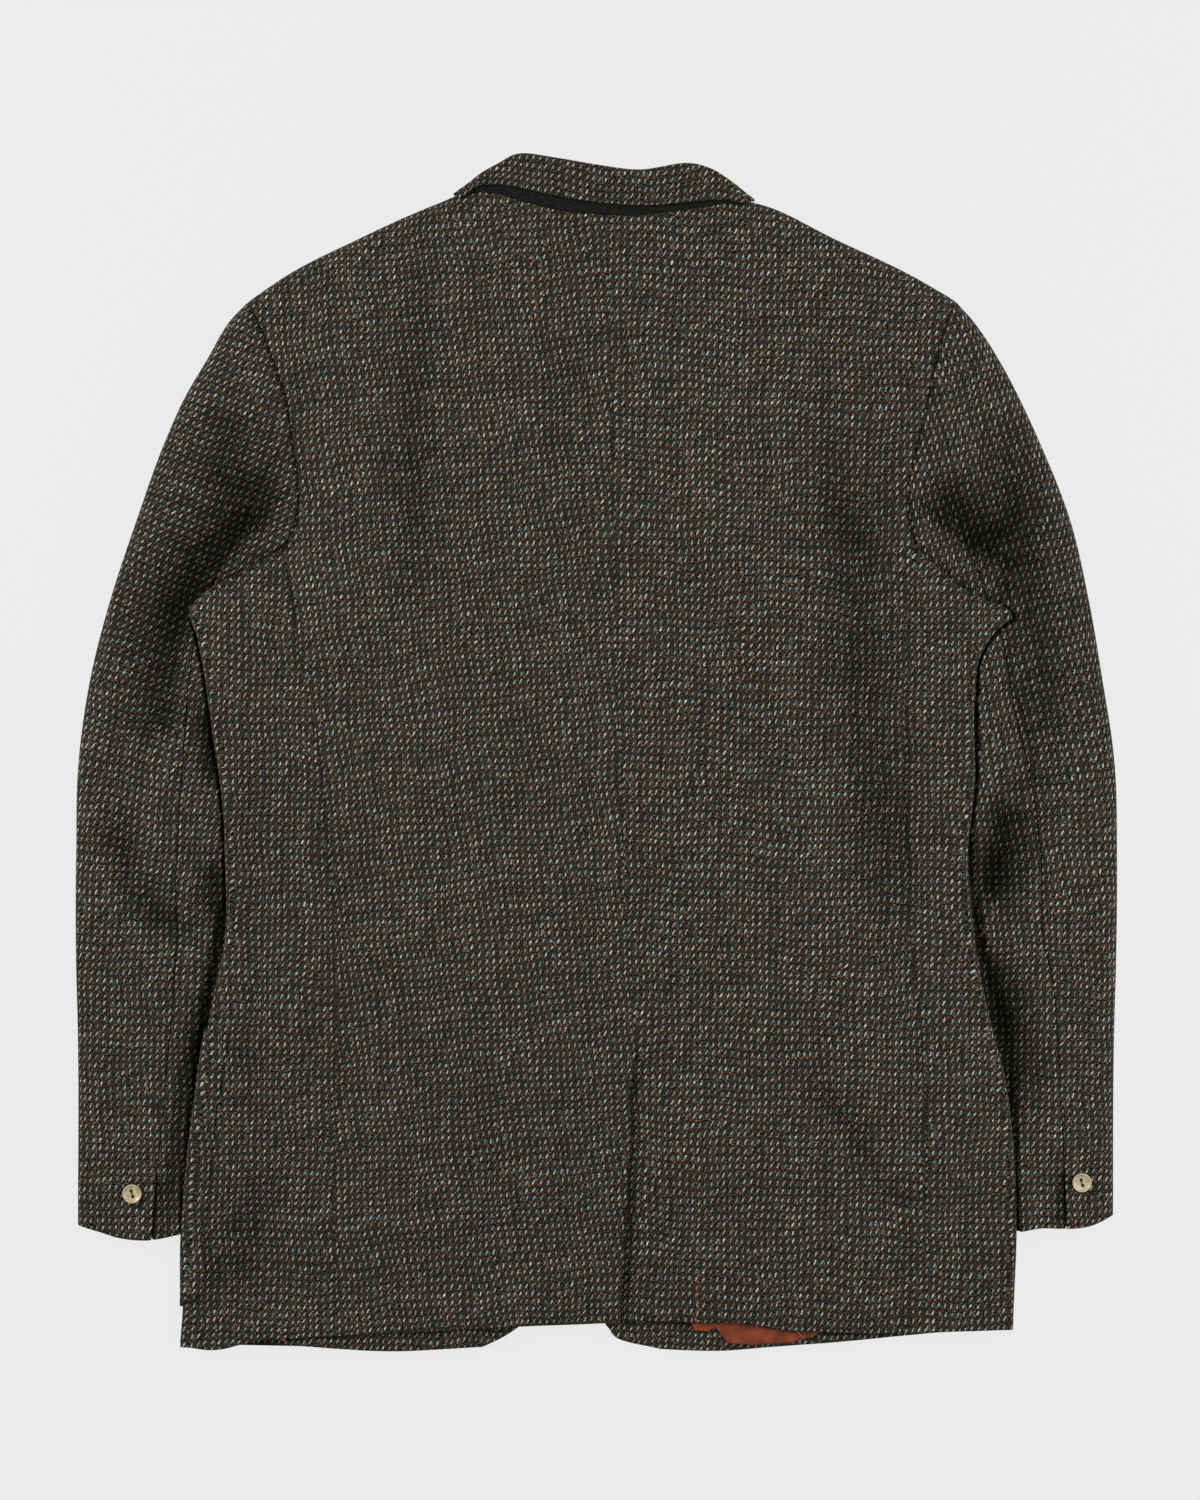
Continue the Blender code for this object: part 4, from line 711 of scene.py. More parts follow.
sleeves = {
    "tucked": 7.3, "least": 4.5, "puff": 12.5, "taper": 0.35, "spread": 2.4, "level": {"left": 1.2, "right": 3.0}, "levelReach": 18.0, "blend": 90.0, "clear": 0.6, "slope": (8.0, 1.6),
    "look": (0.0, 18.0, 36.0), "forearm": 0.42,
    "lap": 3.0, "lapDrop": 2.3,
    "outer": {
        "left": ((-244, 315.4), (-256, 303), (-273, 275), (-289.5, 247), (-302, 219), (-322.4, 163),
                 (-341, 107), (-355, 51), (-363, -5), (-365, -75), (-365, -145), (-363.7, -200), (-363.7, -331)),
        "right": ((250.3, 316.8), (263, 303), (282, 275), (297, 247), (310, 219), (332, 163), (345, 107),
                  (354.6, 51), (363, -5), (365, -75), (364.4, -145), (363, -200), (362.3, -324)),
    },
    "inner": {
        "left": ((-206, 168), (-215, 145), (-224, 115), (-221, 50), (-215, -60), (-214, -200), (-222, -329)),
        "right": ((215, 168), (221, 145), (229, 115), (224, 50), (217, -60), (214, -200), (214, -322)),
    },
    "cuff": {
        "left": ((-363.7, -331), (-348, -335.7), (-334, -340), (-311, -341.3), (-289.5, -337), (-222, -329)),
        "right": ((362.3, -324), (346, -331.5), (328.7, -333.5), (310, -333), (293, -335.7), (214, -322)),
    },
    "elbow": {
        "left": ((-341, -311.2), (-296, -307.7), (-236, -302), (-145, -294.4), (-89, -293.7), (9, -288),
                 (51, -284.6), (107, -274), (156, -249.6), (194, -232), (222, -213)),
        "right": ((-334, 328.7), (-292, 327.3), (-201, 322.4), (-159, 318.9), (-135, 313.3), (-75, 311),
                  (-17, 303.5), (23, 293.7), (67, 286), (114, 272), (177, 244), (206, 223)),
    },
    "folds": {
        "left": ((-240, 182, -243, 160, 12, -3.0), (-246, 165, -300, 80, 22, -2.6), (-342, -66, -272, -150, 17, -4.0),
                 (-330, -78, -282, -96, 12, 2.4), (-300, 120, -330, 20, 20, 1.6), (-330, -190, -300, -300, 20, -1.4)),
        "right": ((254, 156, 282, 106, 16, -3.6), (282, -48, 268, -104, 14, -3.0), (272, -146, 296, -216, 14, -3.0),
                  (296, -104, 284, -138, 10, 2.6), (284, -138, 310, -200, 12, 2.4), (320, 120, 342, 20, 20, 1.6),
                  (340, -190, 334, -290, 18, -1.4)),
    },
    # rows as in the back's creases: height, painted shade (in hollows, beside the body's edge and along seams), reach
    # on the left and right of the path, path
    "creases": {
        "left": (
            (-10.0, 0, 12, 32, ((-224, 200), (-233, 174), (-246, 154), (-263, 140), (-280, 122), (-294, 94), (-301, 54))),
            (0, 0.85, 11, 29, ((-226, 210), (-231, 186), (-240, 164), (-257, 148), (-273, 129), (-289, 102), (-296, 72),
                               (-303, 40), (-306, 8))),
            (3.5, 0, 7, 7, ((-214, 188), (-224, 162), (-243, 138), (-266, 113))),
            (-2.5, 0.5, 22, 22, ((-260, 244), (-259, 210), (-266, 178))),
            (-1.8, 0.32, 12, 11, ((-326, 14), (-300, 24), (-282, 30))),
            (-5.0, 0.65, 7, 9, ((-276, 34), (-270, 6), (-268, -28))),
            (-6.0, 0.65, 7, 8, ((-268, -72), (-267, -92), (-268, -122))),
            (-6.5, 0.5, 11, 9, ((-334, -34), (-333, -64), (-325, -94), (-306, -118), (-276, -133))),
            (2.5, 0, 12, 12, ((-312, -52), (-304, -80), (-288, -104))),
            (-4.0, 0.5, 6, 7, ((-272, -150), (-278, -176), (-284, -210), (-290, -250), (-295, -290), (-298, -345))),
            (0, 0.3, 3, 3.5, ((-305, -290), (-306, -316), (-307, -345))),
            (0, 0.55, 2, 2.6, ((-208.5, 186), (-211, 158), (-218, 143), (-246, 128), (-271, 114.5), (-283, 103))),
            (0, 0.5, 1.6, 1.6, ((-247, 320), (-226, 275), (-216.7, 247), (-212.5, 219), (-209.6, 196), (-208, 168))),
            (1.5, 0, 9, 9, ((-300, 0), (-306, -20), (-304, -40))),
            (-1.2, 0.08, 7, 7, ((-336, -150), (-340, -200), (-336, -262))),
        ),
        "right": (
            (-11.0, 0.85, 24, 13, ((234, 190), (246, 170), (262, 152), (284, 136))),
            (-3.5, 0.58, 21, 19, ((284, 240), (292, 204), (296, 168), (299, 128), (304, 88), (310, 46), (315, -4))),
            (-0.8, 0, 4, 4, ((245, 256), (279, 222))),
            (-0.8, 0, 4, 4, ((240, 222), (262, 194))),
            (-9.0, 0.8, 22, 15, ((288, -30), (284, -56), (277, -84), (271, -114))),
            (-1.6, 0.3, 7, 7, ((284, -28), (306, -20), (332, -22))),
            (-8.0, 0.75, 17, 14, ((274, -136), (280, -166), (286, -196), (291, -224), (294, -258))),
            (2.0, 0, 9, 12, ((303, -262), (303, -300), (302, -345))),
            (0, 0.4, 3, 2, ((290, 92), (287, 64), (293, 43), (304, 5), (308, -24))),
            (0, 0.55, 2.6, 2, ((217, 190), (220, 156), (224, 143), (247, 122), (272, 107), (283, 103), (291, 96))),
            (0, 0.45, 1.6, 1.6, ((252, 318), (247.5, 310), (237, 275), (231, 247), (225, 219), (217, 180))),
            (0, 0.6, 3.5, 2.5, ((325, -292), (324, -312), (323, -335))),
            (2.0, 0, 9, 9, ((306, -66), (304, -100), (300, -136))),
            (1.5, 0, 9, 9, ((314, -180), (322, -230), (318, -290))),
            (-1.2, 0.06, 7, 7, ((338, -120), (342, -190), (338, -250))),
        ),
    },
    "middle": 300.0, "lean": ((-345, 0.0), (-230, 0.0), (-120, 0.05), (0, 0.17), (120, 0.27), (220, 0.3), (330, 0.3)),
    "ventTop": {"left": -296.0, "right": -292.0}, "ventStep": 1.2,
}


def sleevePlan(side, s, t):
    # x and y inside the laid sleeve, s from outside to inside and t from armhole to cuff: a Coons patch, the two
    # ruled surfaces between opposite edges less the one between the corners
    inner = sleeves["inner"][side]
    top = body["armhole"][side][-1][0]
    armhole = [(x - signOf[side] * sleeves["lap"] * eased((top - y) / 25), y)
               for y, x in reversed(body["armhole"][side]) if y > inner[0][1]] + [inner[0]]
    edges = (alongPath(armhole, s), alongPath(sleeves["cuff"][side], s), alongPath(sleeves["outer"][side], t),
             alongPath(inner, t))
    place = []
    for axis in (0, 1):
        head, cuff, outside, inside = (edge[axis] for edge in edges)
        a, b, c, d = (curve[end][axis] for end in (0, -1) for curve in (sleeves["outer"][side], inner))
        ruled = (1 - t) * head + t * cuff + (1 - s) * outside + s * inside
        place.append(ruled - (1 - t) * ((1 - s) * a + s * b) - t * ((1 - s) * c + s * d))
    return place


def sleeveHeight(side, x, y, t):
    # upper face: puffed beside the body, thin under it, level with the back at the armhole
    clear = np.maximum(np.min([signOf[side] * (x - bodyOutline(side, y - drop)) for drop in sleeves["look"]], axis=0), 0)
    beside = eased(clear / sleeves["spread"])
    level = sleeves["level"][side] * np.exp(-((clear / sleeves["levelReach"]) ** 2))
    own = sleeves["tucked"] + (sleeves["puff"] * (1 - sleeves["taper"] * t) + level + foldRelief(sleeves["folds"][side], x, y)
                               + creaseRelief(sleeves["creases"][side], x, y)[0]) * beside
    length = abs(sleeves["outer"][side][-1][1] - sleeves["outer"][side][0][1])
    kept = 1 - eased(t * length / sleeves["blend"])
    ceiling = (sleeves["tucked"] + sleeves["slope"][0] * np.maximum(clear - sleeves["clear"], 0)
               + sleeves["slope"][1] * np.maximum(y - body["underarm"] - sleeves["clear"], 0))
    inside = signOf[side] * (bodyOutline(side, y) - x)
    lapped = sleeves["lapDrop"] * eased((inside + 1.6) / 1.6) * (y > body["underarm"])
    own = np.maximum(own, sleeves["least"])
    return np.minimum(own + (backHeight(x, y) - own) * kept - lapped, ceiling)


def sleevePoint(side, ring, t):
    # ring runs 0-1 over the top from outside to inside, 1-2 round the inner edge, 2-3 back underneath and 3-4
    # round the outer edge; the edges are half ovals
    ring = np.mod(ring, 4)
    zero = np.zeros_like(ring * t)
    ox, oy = sleevePlan(side, zero, t + zero)
    ix, iy = sleevePlan(side, zero + 1, t + zero)
    width = np.hypot(ix - ox, iy - oy)
    rounds = (sleeves["tucked"] + sleeves["puff"]) / 2, sleeves["tucked"] / 2
    tops = []
    for end, radius in zip((0, 1), rounds):
        x, y = sleevePlan(side, np.abs(end - radius / width), t + zero)
        tops.append(sleeveHeight(side, x, y, t))
    part = ring - np.floor(ring)
    angle = part * pi
    flatWidth = width - sum(rounds)
    stretches = [ring < 1, ring < 2, ring < 3]
    fromOutside = np.select(stretches, [
        rounds[0] + part * flatWidth, width - rounds[1] * (1 - np.sin(angle)), rounds[0] + (1 - part) * flatWidth,
    ], rounds[0] * (1 - np.sin(angle)))
    x, y = sleevePlan(side, fromOutside / width, t + zero)
    z = np.select(stretches, [sleeveHeight(side, x, y, t), tops[1] / 2 * (1 + np.cos(angle)), zero],
                  tops[0] / 2 * (1 - np.cos(angle)))
    return np.stack([x, y, z], axis=-1), fromOutside


def alongSleeve(side, grid, ring):
    # flat places: across and along a centre line that leans by a slowly changing angle; past the edges, where the
    # cloth turns under, the distance run over the cloth is added
    inward = -signOf[side]
    x, y = grid[..., 0], grid[..., 1]
    level = np.linspace(-345, 330, 136)
    lean = inward * curveThrough(sleeves["lean"], level)
    centre = -inward * sleeves["middle"] + np.concatenate([[0], np.cumsum(5 * np.tan(lean[:-1]))])
    run = np.concatenate([[0], np.cumsum(5 / np.cos(lean[:-1]))])
    angle, middle = np.interp(y, level, lean), np.interp(y, level, centre)
    across, along = (x - middle) * np.cos(angle), np.interp(y, level, run) + (x - middle) * np.sin(angle)
    passed = np.concatenate([0 * x[:, :1], np.cumsum(np.linalg.norm(np.diff(grid, axis=1), axis=2), axis=1)], axis=1)
    start = np.argmax(ring >= 4, axis=1) if ring[0, 0] > 2 else np.argmax(ring >= 1, axis=1)
    row = np.arange(len(x))
    turned = across[row, start][:, None] + inward * (passed - passed[row, start][:, None])
    beyond = ring < 4 if ring[0, 0] > 2 else ring > 1
    return np.stack([np.where(beyond, turned, across), along], axis=-1)


def elbowRing(side, t):  # where the hindarm seam crosses the top, by interpolation between fine places on the ring
    ring = np.linspace(0, 1, 161)
    point = sleevePoint(side, ring[None, :], t)[0]
    past = signOf[side] * (curveThrough(sleeves["elbow"][side], point[..., 1]) - point[..., 0])
    i = np.clip((past < 0).sum(axis=1) - 1, 0, 159)
    row = np.arange(len(t))
    before, after = past[row, i], past[row, i + 1]
    found = ring[i] + (ring[1] - ring[0]) * np.clip(-before / (after - before), 0, 1)
    return np.clip(found, 0.12, 0.97)[:, None]


def laySleeve(side):
    length = np.abs(sleeves["outer"][side][-1][1] - sleeves["outer"][side][0][1])
    t = sharesBetween(length, cloth["sleeveStep"], (("start", 6), ("end", 4)))[:, None]
    seam = elbowRing(side, t)
    gap = cloth["seamGap"] / 150
    fore = 2 + sleeves["forearm"]
    topShare = sharesBetween(80, cloth["sleeveStep"], (("end", 4),))
    underShare = sharesBetween(75, cloth["sleeveStep"], (("start", 4),))
    rings = {
        "top": np.concatenate([fore + gap + np.linspace(0, 1, 10)[:-1] * (3 - fore - gap) + 0 * t,
                               3 + np.linspace(0, 1, 12)[:-1] + 0 * t, 4 + topShare * (seam - gap)], axis=1),
        "under": np.concatenate([seam + gap + underShare[:-1] * (1 - seam - gap),
                                 1 + np.linspace(0, 1, 8)[:-1] + 0 * t,
                                 2 + np.linspace(0, 1, 8) * (sleeves["forearm"] - gap) + 0 * t], axis=1),
    }
    seamAcross = sleevePoint(side, seam, t)[1]
    for panel, ring in rings.items():
        grid, across = sleevePoint(side, ring, t)
        x, y = grid[..., 0], grid[..., 1]
        up = np.mod(ring, 4)
        upper = np.where(up <= 1, 1.0, np.where(up > 3, eased((up - 3.4) / 0.6), eased((1.6 - up) / 0.6)))
        clear = np.maximum(signOf[side] * (x - bodyOutline(side, y)), 0)
        rise = clothHills(x, y, 50) * eased(clear / 16) * 0.9
        rise = rise + seamDip(across - seamAcross, t * length, 3) * (up <= 1)
        rise = rise + seamDip(t * length + 0 * x, across, 4, relief["armholeDip"]) * 0.8
        vent = eased((sleeves["ventTop"][side] - y) / 3)
        onTop = panel == "top"
        rise = rise + sleeves["ventStep"] * vent * np.exp(-(np.abs(across - seamAcross) / 12) ** 2) * (1 if onTop else -1)
        grid[..., 2] = np.maximum(grid[..., 2] + (rise + roundedEdge((1 - t) * length)) * upper, 0)
        flat = alongSleeve(side, grid, ring)
        name = panel + "_sleeve_" + side
        shade = creaseRelief(sleeves["creases"][side], x, y)[1] * upper
        layCloth("tweed_" + name, grid, flat, cloth["wall"], "tweed", name, side == "left", shade)


# ---- pockets

def layPocket(side):
    # a patch with rounded lower corners taken from the body's surface and moved out
    sign, start = signOf[side], pockets["start"][side]
    edge = np.abs(bodyOutline(side, pockets["foot"]))
    far = edge + start - pockets["width"]
    ramp = body["over"]["in"] - body["over"]["ramp"]
    if start > 0:  # it starts on the upper side and runs round the folded edge
        near = edge - 22
        around = body["edgeRound"] * pi * np.linspace(0.5, -0.5, 15)
        atFoot = np.concatenate([np.linspace(start, around[0], 12)[:-1], around])
    else:
        near = edge + start
        atFoot = np.zeros(0)
    stops = [near, 238, body["over"]["in"], ramp, far]
    counts = (4, 6, 8, 14)
    flatX = np.concatenate([np.linspace(a, b, n, endpoint=False) for a, b, n in zip(stops, stops[1:], counts)]
                           + [[far]]) * sign
    fromStart = np.concatenate([start - atFoot, start + reachTo(side, flatX, pockets["foot"])])
    fromCorner = np.minimum(fromStart, fromStart[-1] - fromStart)
    corner = pockets["corner"]
    rounded = corner * (1 - np.sqrt(1 - np.clip(1 - fromCorner / corner, 0, 1) ** 2))
    down = sharesBetween(pockets["top"] - pockets["foot"], cloth["step"], (("start", 3), ("end", 3)))[:, None]
    low = pockets["foot"] + rounded
    y = low + down * (pockets["top"] - low)
    turned = atFoot.size
    reach = np.concatenate([atFoot + 0 * y[:, :turned], -reachTo(side, flatX, y[:, turned:])], axis=1)
    grid = edgePoint(side, reach, y)
    flat = alongEdge(side, reach, y)
    fromSide = np.abs(reach - reach[:, :1])
    lift = pockets["gap"] + cloth["pocketWall"] + roundedEdge(fromSide) * 0.6 + 0.25 * np.exp(-(((fromSide - 5) / 3) ** 2))
    if side == "left":
        grid, flat, lift = grid[:, ::-1], flat[:, ::-1], lift[:, ::-1]
    return layCloth("tweed_pocket_" + side, movedOut(grid, lift), flat, cloth["pocketWall"], "tweed",
                    "pocket_" + side)


for wearerSide in ("left", "right"):
    layBack(wearerSide)
    laySide(wearerSide)
    layFront(wearerSide)
    layLapel(wearerSide)
    laySleeve(wearerSide)
    layPocket(wearerSide)
print("body, sleeves and pockets laid")


# ---- collar

collar = {
    "wall": 2.0, "fallGap": 1.9, "rise": 6.4, "feltOver": 1.2,
    # neck seam x, y; edge of the fall x, y; folded top x, y; radius of the fold
    "stations": (
        (-92, 388.6, -97, 385.6, -100, 389.6, 2.2), (-84, 391.4, -85, 393.4, -85, 400.4, 3.8),
        (-68, 389.9, -69, 395, -69, 409.5, 4.4), (-47, 383.6, -52, 392.3, -53, 416.7, 4.6),
        (-25, 378.6, -26, 386.8, -26, 413.4, 4.6), (2.5, 375.2, 2.5, 382.6, 2.5, 408.6, 4.6),
        (30.5, 375.2, 30.5, 380.5, 30.5, 405.5, 4.6), (58, 378, 58.5, 382.1, 61, 410, 4.6),
        (78, 381.4, 78, 384.2, 79, 406.5, 4.4), (91, 383.4, 92, 384.2, 94, 397.5, 3.8),
        (101, 383.4, 106, 382.2, 111, 385.6, 2.4),
    ),
}


def collarStations(share):  # every value of the stations on a smooth curve from left end to right
    rows = np.array(collar["stations"], float)
    place = np.linspace(0, 1, len(rows))
    return [curveThrough(np.column_stack([place, rows[:, k]]), share) for k in range(7)]


def layCollar():
    # across: the fall from its edge, a half circle at the folded top, and back inside to the neck seam
    share = np.linspace(0, 1, 120)
    neckX, neckY, fallX, fallY, foldX, foldY, turn = collarStations(share)
    neckZ = backHeight(neckX, neckY)
    runX, runY = foldX - neckX, foldY - neckY
    runLength = np.hypot(runX, runY)
    runX, runY = runX / runLength, runY / runLength
    centreX, centreY = foldX - runX * turn, foldY - runY * turn
    middle = neckZ + collar["rise"] * turn / 4.6 - 1.0
    topZ, lowZ = middle + turn, middle - turn
    fallZ = neckZ + collar["fallGap"] + cloth["wall"] + cloth["felt"]
    along = np.concatenate([[0], np.cumsum(np.hypot(np.diff(fallX), np.diff(fallY)))])
    points = []
    for part in np.concatenate([[0, 0.03, 0.07], np.linspace(0.12, 1, 14)[:-1]]):
        place = part * 0.98
        z = fallZ + (topZ - fallZ) * eased(place * 1.2)
        z = z + roundedEdge(part * 16) * 0.8 + 0.5 * unevenness(along, 0 * along + part * 2, 17, 71) * (1 - part)
        points.append((fallX + (centreX - fallX) * place, fallY + (centreY - fallY) * place, z))
    for angle in np.linspace(pi / 2, -pi / 2, 13):
        points.append((centreX + runX * turn * np.cos(angle), centreY + runY * turn * np.cos(angle),
                       middle + turn * np.sin(angle)))
    insideX, insideY = neckX + runX * 1.2, neckY + runY * 1.2
    for part in (0.25, 0.5, 0.75, 1.0):
        points.append((centreX + (insideX - centreX) * part, centreY + (insideY - centreY) * part,
                       lowZ + (neckZ - cloth["wall"] - cloth["felt"] - 0.5 - lowZ) * part))
    grid = np.array(points).transpose(2, 0, 1)
    run = np.cumsum(np.linalg.norm(np.diff(grid, axis=1, prepend=grid[:, :1]), axis=2), axis=1)
    flat = np.stack([along[:, None] + 0 * run, run], axis=-1)
    return layCloth("tweed_collar", grid, flat, collar["wall"], "tweed", "collar", True)


def layUndercollar():
    # the felt side of the stand: a slope from the neck seam up inside the fold
    share = np.linspace(0.07, 0.94, 120)
    neckX, neckY, fallX, fallY, foldX, foldY, turn = collarStations(share)
    neckZ = backHeight(neckX, neckY)
    runX, runY = foldX - neckX, foldY - neckY
    runLength = np.hypot(runX, runY)
    middle = neckZ + collar["rise"] * turn / 4.6 - 1.0
    highZ = middle - turn + collar["wall"] + cloth["felt"] + 0.8
    end = 1 - (turn + 3.6) / runLength
    steep = end / (1 - turn / runLength)
    part = np.linspace(0, 1, 16)[:, None]
    start = -collar["feltOver"] / runLength
    x = neckX + runX * (start + end * part)
    y = neckY + runY * (start + end * part)
    z = neckZ + 0.8 + (highZ - neckZ - 0.8) * part * steep + roundedEdge(part * runLength * end) * 0.5
    z = z + 0.3 * unevenness(x, y, 11, 83) * softLevel(part, 0.2, 0.8, 0.2)
    grid = np.stack([x, y, z], axis=-1).transpose(1, 0, 2)
    return layCloth("felt_undercollar", grid, grid[..., :2], cloth["felt"], "felt", "undercollar",
                    True)


layCollar()
layUndercollar()
print("collar laid")


# ---- torn lining

lining = {
    "edge": ((66, -399), (69, -405), (79, -405.5), (83, -402), (92, -414), (110, -415.5), (136, -413.5),
             (150, -410), (161, -404)),
    "top": -368.0, "level": 11.0, "drop": 0.5, "dropFrom": -388.0, "dropRamp": 20.0,
}


def layLining():
    # hangs out below the back hem: its lower edge follows the tear, with soft ripples
    x = np.linspace(66, 161, 96)
    edge = np.interp(x, *np.array(lining["edge"], float).T)
    edge = edge + 0.5 * unevenness(x, 0 * x, 2.2, 91)
    part = np.linspace(0, 1, 34)[:, None]
    y = lining["top"] + (edge - lining["top"]) * part
    grid = np.stack([x + 0 * y, y, lining["level"] - lining["drop"] * eased((lining["dropFrom"] - y) / lining["dropRamp"])
                     + 0.35 * unevenness(x + 0 * y, y * 0.5, 8, 92) * eased((-392 - y) / 8)], axis=-1)
    return layCloth("lining_torn_hem", grid, grid[..., :2], cloth["lining"], "satin", "lining_hem",
                    True)


layLining()
print("lining laid")


# ---- buttons and thread

buttons = {
    "cuff": {"left": (-324.5, -308.4), "right": (339.2, -300.7), "across": 13.9, "thick": 3.4},
    "front": {"line": 20.0, "levels": (10.0, -90.0, -190.0), "across": 20.0, "thick": 3.0},
    "hole": 2.2, "spacing": 4.2, "direction": (0.28, -0.96), "steps": 64,
    # radius and height as shares, from the middle of the underside to the middle of the face
    "profile": ((0.02, 0), (0.7, 0), (0.86, 0.1), (0.96, 0.3), (1.0, 0.55), (0.985, 0.8), (0.94, 0.95), (0.88, 1.0),
                (0.81, 0.97), (0.74, 0.84), (0.66, 0.74), (0.5, 0.69), (0.3, 0.67), (0.02, 0.66)),
}


def turnButton(name, node, x, y, low, across, thick):
    # a turned disc with a rounded rim and a dished face, drilled by two round cutters
    profile = np.array(buttons["profile"], float) * (across / 2, thick)
    angle = np.linspace(0, 2 * pi, buttons["steps"], endpoint=False)
    points = np.stack([profile[:, :1] * np.cos(angle), profile[:, :1] * np.sin(angle),
                       profile[:, 1:] + 0 * angle], axis=-1)
    faces = quads(len(profile), len(angle), closed=True)
    spots = np.concatenate([points.reshape(-1, 3), [[0, 0, 0], [0, 0, profile[-1, 1]]]])
    ring = np.arange(len(angle))
    last = (len(profile) - 1) * len(angle)
    caps = [np.stack([np.full_like(ring, len(spots) - 2), np.roll(ring, -1), ring], axis=-1),
            np.stack([last + ring, last + np.roll(ring, -1), np.full_like(ring, len(spots) - 1)], axis=-1)]
    mesh = bpy.data.meshes.new(name)
    spots = spots + (x, y, low)
    mesh.from_pydata((spots * mm).tolist(), [], faces.tolist() + caps[0].tolist() + caps[1].tolist())
    mesh.shade_smooth()
    made = bpy.data.objects.new(name, mesh)
    bpy.context.collection.objects.link(made)
    mesh.materials.append(surfaces["horn"])
    holes = []
    for number, away in enumerate((-buttons["spacing"] / 2, buttons["spacing"] / 2)):
        holeX, holeY = x + away * buttons["direction"][0], y + away * buttons["direction"][1]
        holes.append((holeX, holeY))
        bpy.ops.mesh.primitive_cylinder_add(vertices=24, radius=buttons["hole"] / 2 * mm, depth=4 * thick * mm,
                                            location=(holeX * mm, holeY * mm, low * mm))
        drill = bpy.context.object
        cut = made.modifiers.new("hole", "BOOLEAN")
        cut.operation = "DIFFERENCE"
        cut.object = drill
        bpy.context.view_layer.objects.active = made
        bpy.ops.object.modifier_apply(modifier="hole")
        bpy.data.objects.remove(drill, do_unlink=True)
    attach(made, "root")
    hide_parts(node)
    return holes


def runThread(name, path, radius, surface, sides=8, smoothing=6):
    # a round tube along a smooth curve through the path's points
    path = np.array(path, float)
    run = np.concatenate([[0], np.cumsum(np.linalg.norm(np.diff(path, axis=0), axis=1))])
    place = np.linspace(0, run[-1], len(path) * smoothing)
    line = np.stack([curveThrough(np.column_stack([run, path[:, k]]), place) for k in range(3)], axis=-1)
    ahead = np.gradient(line, axis=0)
    ahead /= np.linalg.norm(ahead, axis=1, keepdims=True)
    side = np.cross(ahead, (0.13, 0.21, 0.97))
    side /= np.linalg.norm(side, axis=1, keepdims=True)
    up = np.cross(side, ahead)
    angle = np.linspace(0, 2 * pi, sides, endpoint=False)[None, :, None]
    tube = line[:, None] + radius * (side[:, None] * np.cos(angle) + up[:, None] * np.sin(angle))
    flat = np.stack([place[:, None] + 0 * angle[..., 0], 0 * place[:, None] + angle[..., 0]], axis=-1)
    made = meshFrom(name, tube.reshape(-1, 3), quads(len(line), sides, closed=True), flat.reshape(-1, 2))
    made.data.materials.append(surfaces[surface])
    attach(made, "root")
    return made


for wearerSide in ("left", "right"):
    buttonX, buttonY = buttons["cuff"][wearerSide]
    near = buttonX + buttons["cuff"]["across"] / 2 * np.array([-1, -0.5, 0, 0.5, 1])
    seat = sleeveHeight(wearerSide, near, np.full(5, buttonY), 0.95).max() + 0.35
    (ax, ay), (bx, by) = turnButton("horn_cuff_button_" + wearerSide, "cuff_button_" + wearerSide, buttonX, buttonY,
                                    seat, buttons["cuff"]["across"], buttons["cuff"]["thick"])
    face = seat + buttons["cuff"]["thick"] * 0.67
    for strand, shift in enumerate((-0.22, 0.22)):
        runThread("thread_cuff_%s_%d" % (wearerSide, strand), (
            (ax - shift, ay + shift, face - 1.6), (ax - shift, ay + shift, face + 0.1),
            ((ax + bx) / 2 - shift, (ay + by) / 2 + shift, face + 0.55),
            (bx - shift, by + shift, face + 0.1), (bx - shift, by + shift, face - 1.6)), 0.24, "darkThread")
for number, level in enumerate(buttons["front"]["levels"], 1):
    turnButton("horn_front_button_%d" % number, "front_button_%d" % number, buttons["front"]["line"], level, 0.0,
               buttons["front"]["across"], buttons["front"]["thick"])
print("buttons sewn on")


loose = {  # rows of x, y and height over the cloth
    "basting": {"x": 70.2, "from": -364.0, "to": -399.0, "stitches": 8, "lean": 1.3, "radius": 0.34},
    "fibre": ((-234, 107, 0.2), (-231, 101, 0.8), (-233, 95, 0.5), (-230, 88, 0.1)),
    "frayed": ((134, -402.5, 0.3), (141, -405, 0.9), (143, -407.5, 1.0), (146, -408.5, 0.5)),
}


def overBack(x, y):  # the back's upper face with its hills
    return backHeight(x, y) + clothHills(x, y)


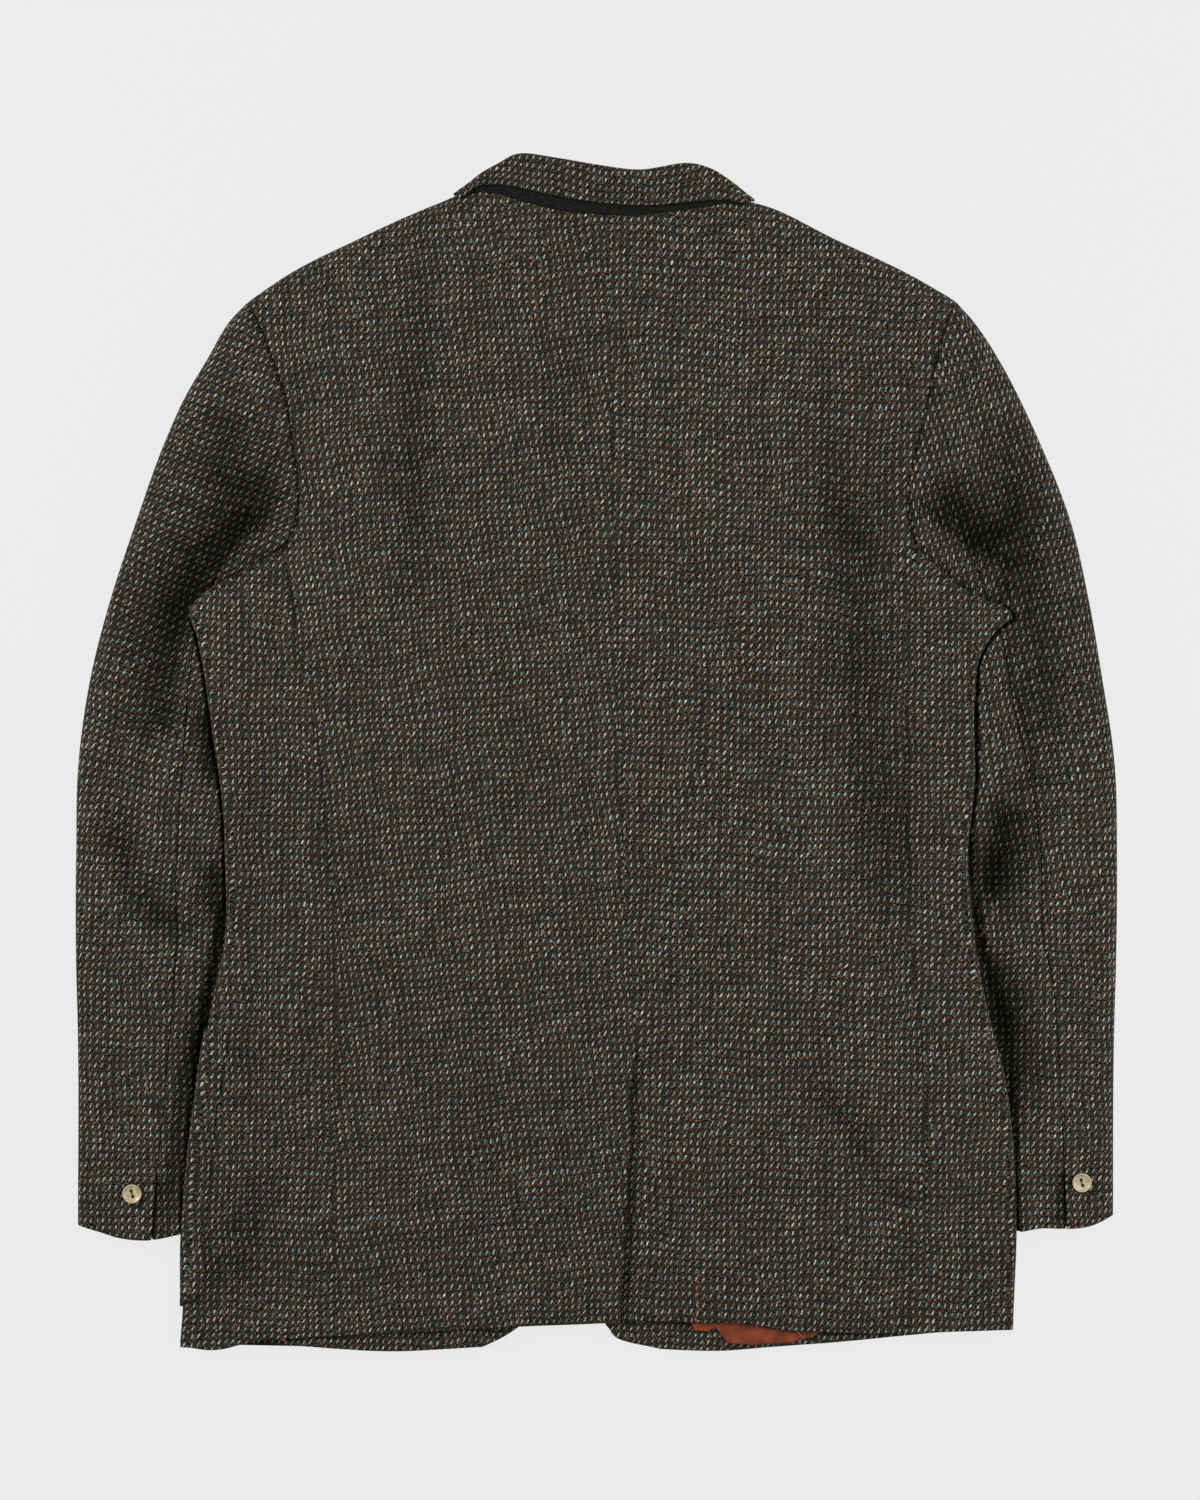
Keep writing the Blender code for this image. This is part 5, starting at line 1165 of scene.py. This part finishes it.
stitches = np.arange(2 * loose["basting"]["stitches"] + 1)
stitchY = np.linspace(loose["basting"]["from"], loose["basting"]["to"], len(stitches))
stitchX = loose["basting"]["x"] + loose["basting"]["lean"] * np.sin(2.4 * stitches)
stitchZ = overBack(stitchX, stitchY) + np.where(stitches % 2, 0.35, -1.4)
runThread("thread_basting", np.stack([stitchX, stitchY, stitchZ], axis=-1), loose["basting"]["radius"], "orangeThread")
runThread("thread_orange_end", [(x, y, overBack(x, y) + up) for x, y, up in ((-220.4, -410.2, 0.1), (-218.6, -411.0, 0.7),
                                                                           (-217, -412.4, -0.2))], 0.3, "orangeThread")
for name in ("fibre", "frayed"):
    runThread("wool_" + name, [(x, y, overBack(x, y) + up) for x, y, up in loose[name]], 0.14, "paleThread")
print("loose threads laid")


# ---- floor and light

stage = {"floor": "#ececec", "size": 6.0, "glow": 0.95, "world": 0.2,
         # name, place in metres, size, power
         "lights": (("key", (-1.85, 0.6, 1.15), 1.0, 38.0), ("fill", (1.6, 0.3, 1.3), 2.0, 39.4))}

bpy.ops.mesh.primitive_plane_add(size=stage["size"])
floor = bpy.context.object
floor.name = "floor"
floorSurface, floorTree, floorShader = newSurface("pale floor", Base_Color=linear("#3a3a3a"), Roughness=0.9,
                                                  Specular_IOR_Level=0.0, Emission_Color=linear(stage["floor"]),
                                                  Emission_Strength=stage["glow"])
floor.data.materials.append(floorSurface)

for name, place, size, power in stage["lights"]:
    lamp = bpy.data.lights.new(name, "AREA")
    lamp.size = size
    lamp.energy = power
    holder = bpy.data.objects.new(name, lamp)
    holder.location = place
    bpy.context.collection.objects.link(holder)
    toward = -np.array(place)
    holder.rotation_euler = (np.arctan2(np.hypot(toward[0], toward[1]), -toward[2]), 0,
                             np.arctan2(toward[1], toward[0]) - pi / 2)
world = bpy.data.worlds.new("studio")
bpy.context.scene.world = world
world.use_nodes = True
world.node_tree.nodes["Background"].inputs["Color"].default_value = (1, 1, 1, 1)
world.node_tree.nodes["Background"].inputs["Strength"].default_value = stage["world"]
print("floor and lights set")
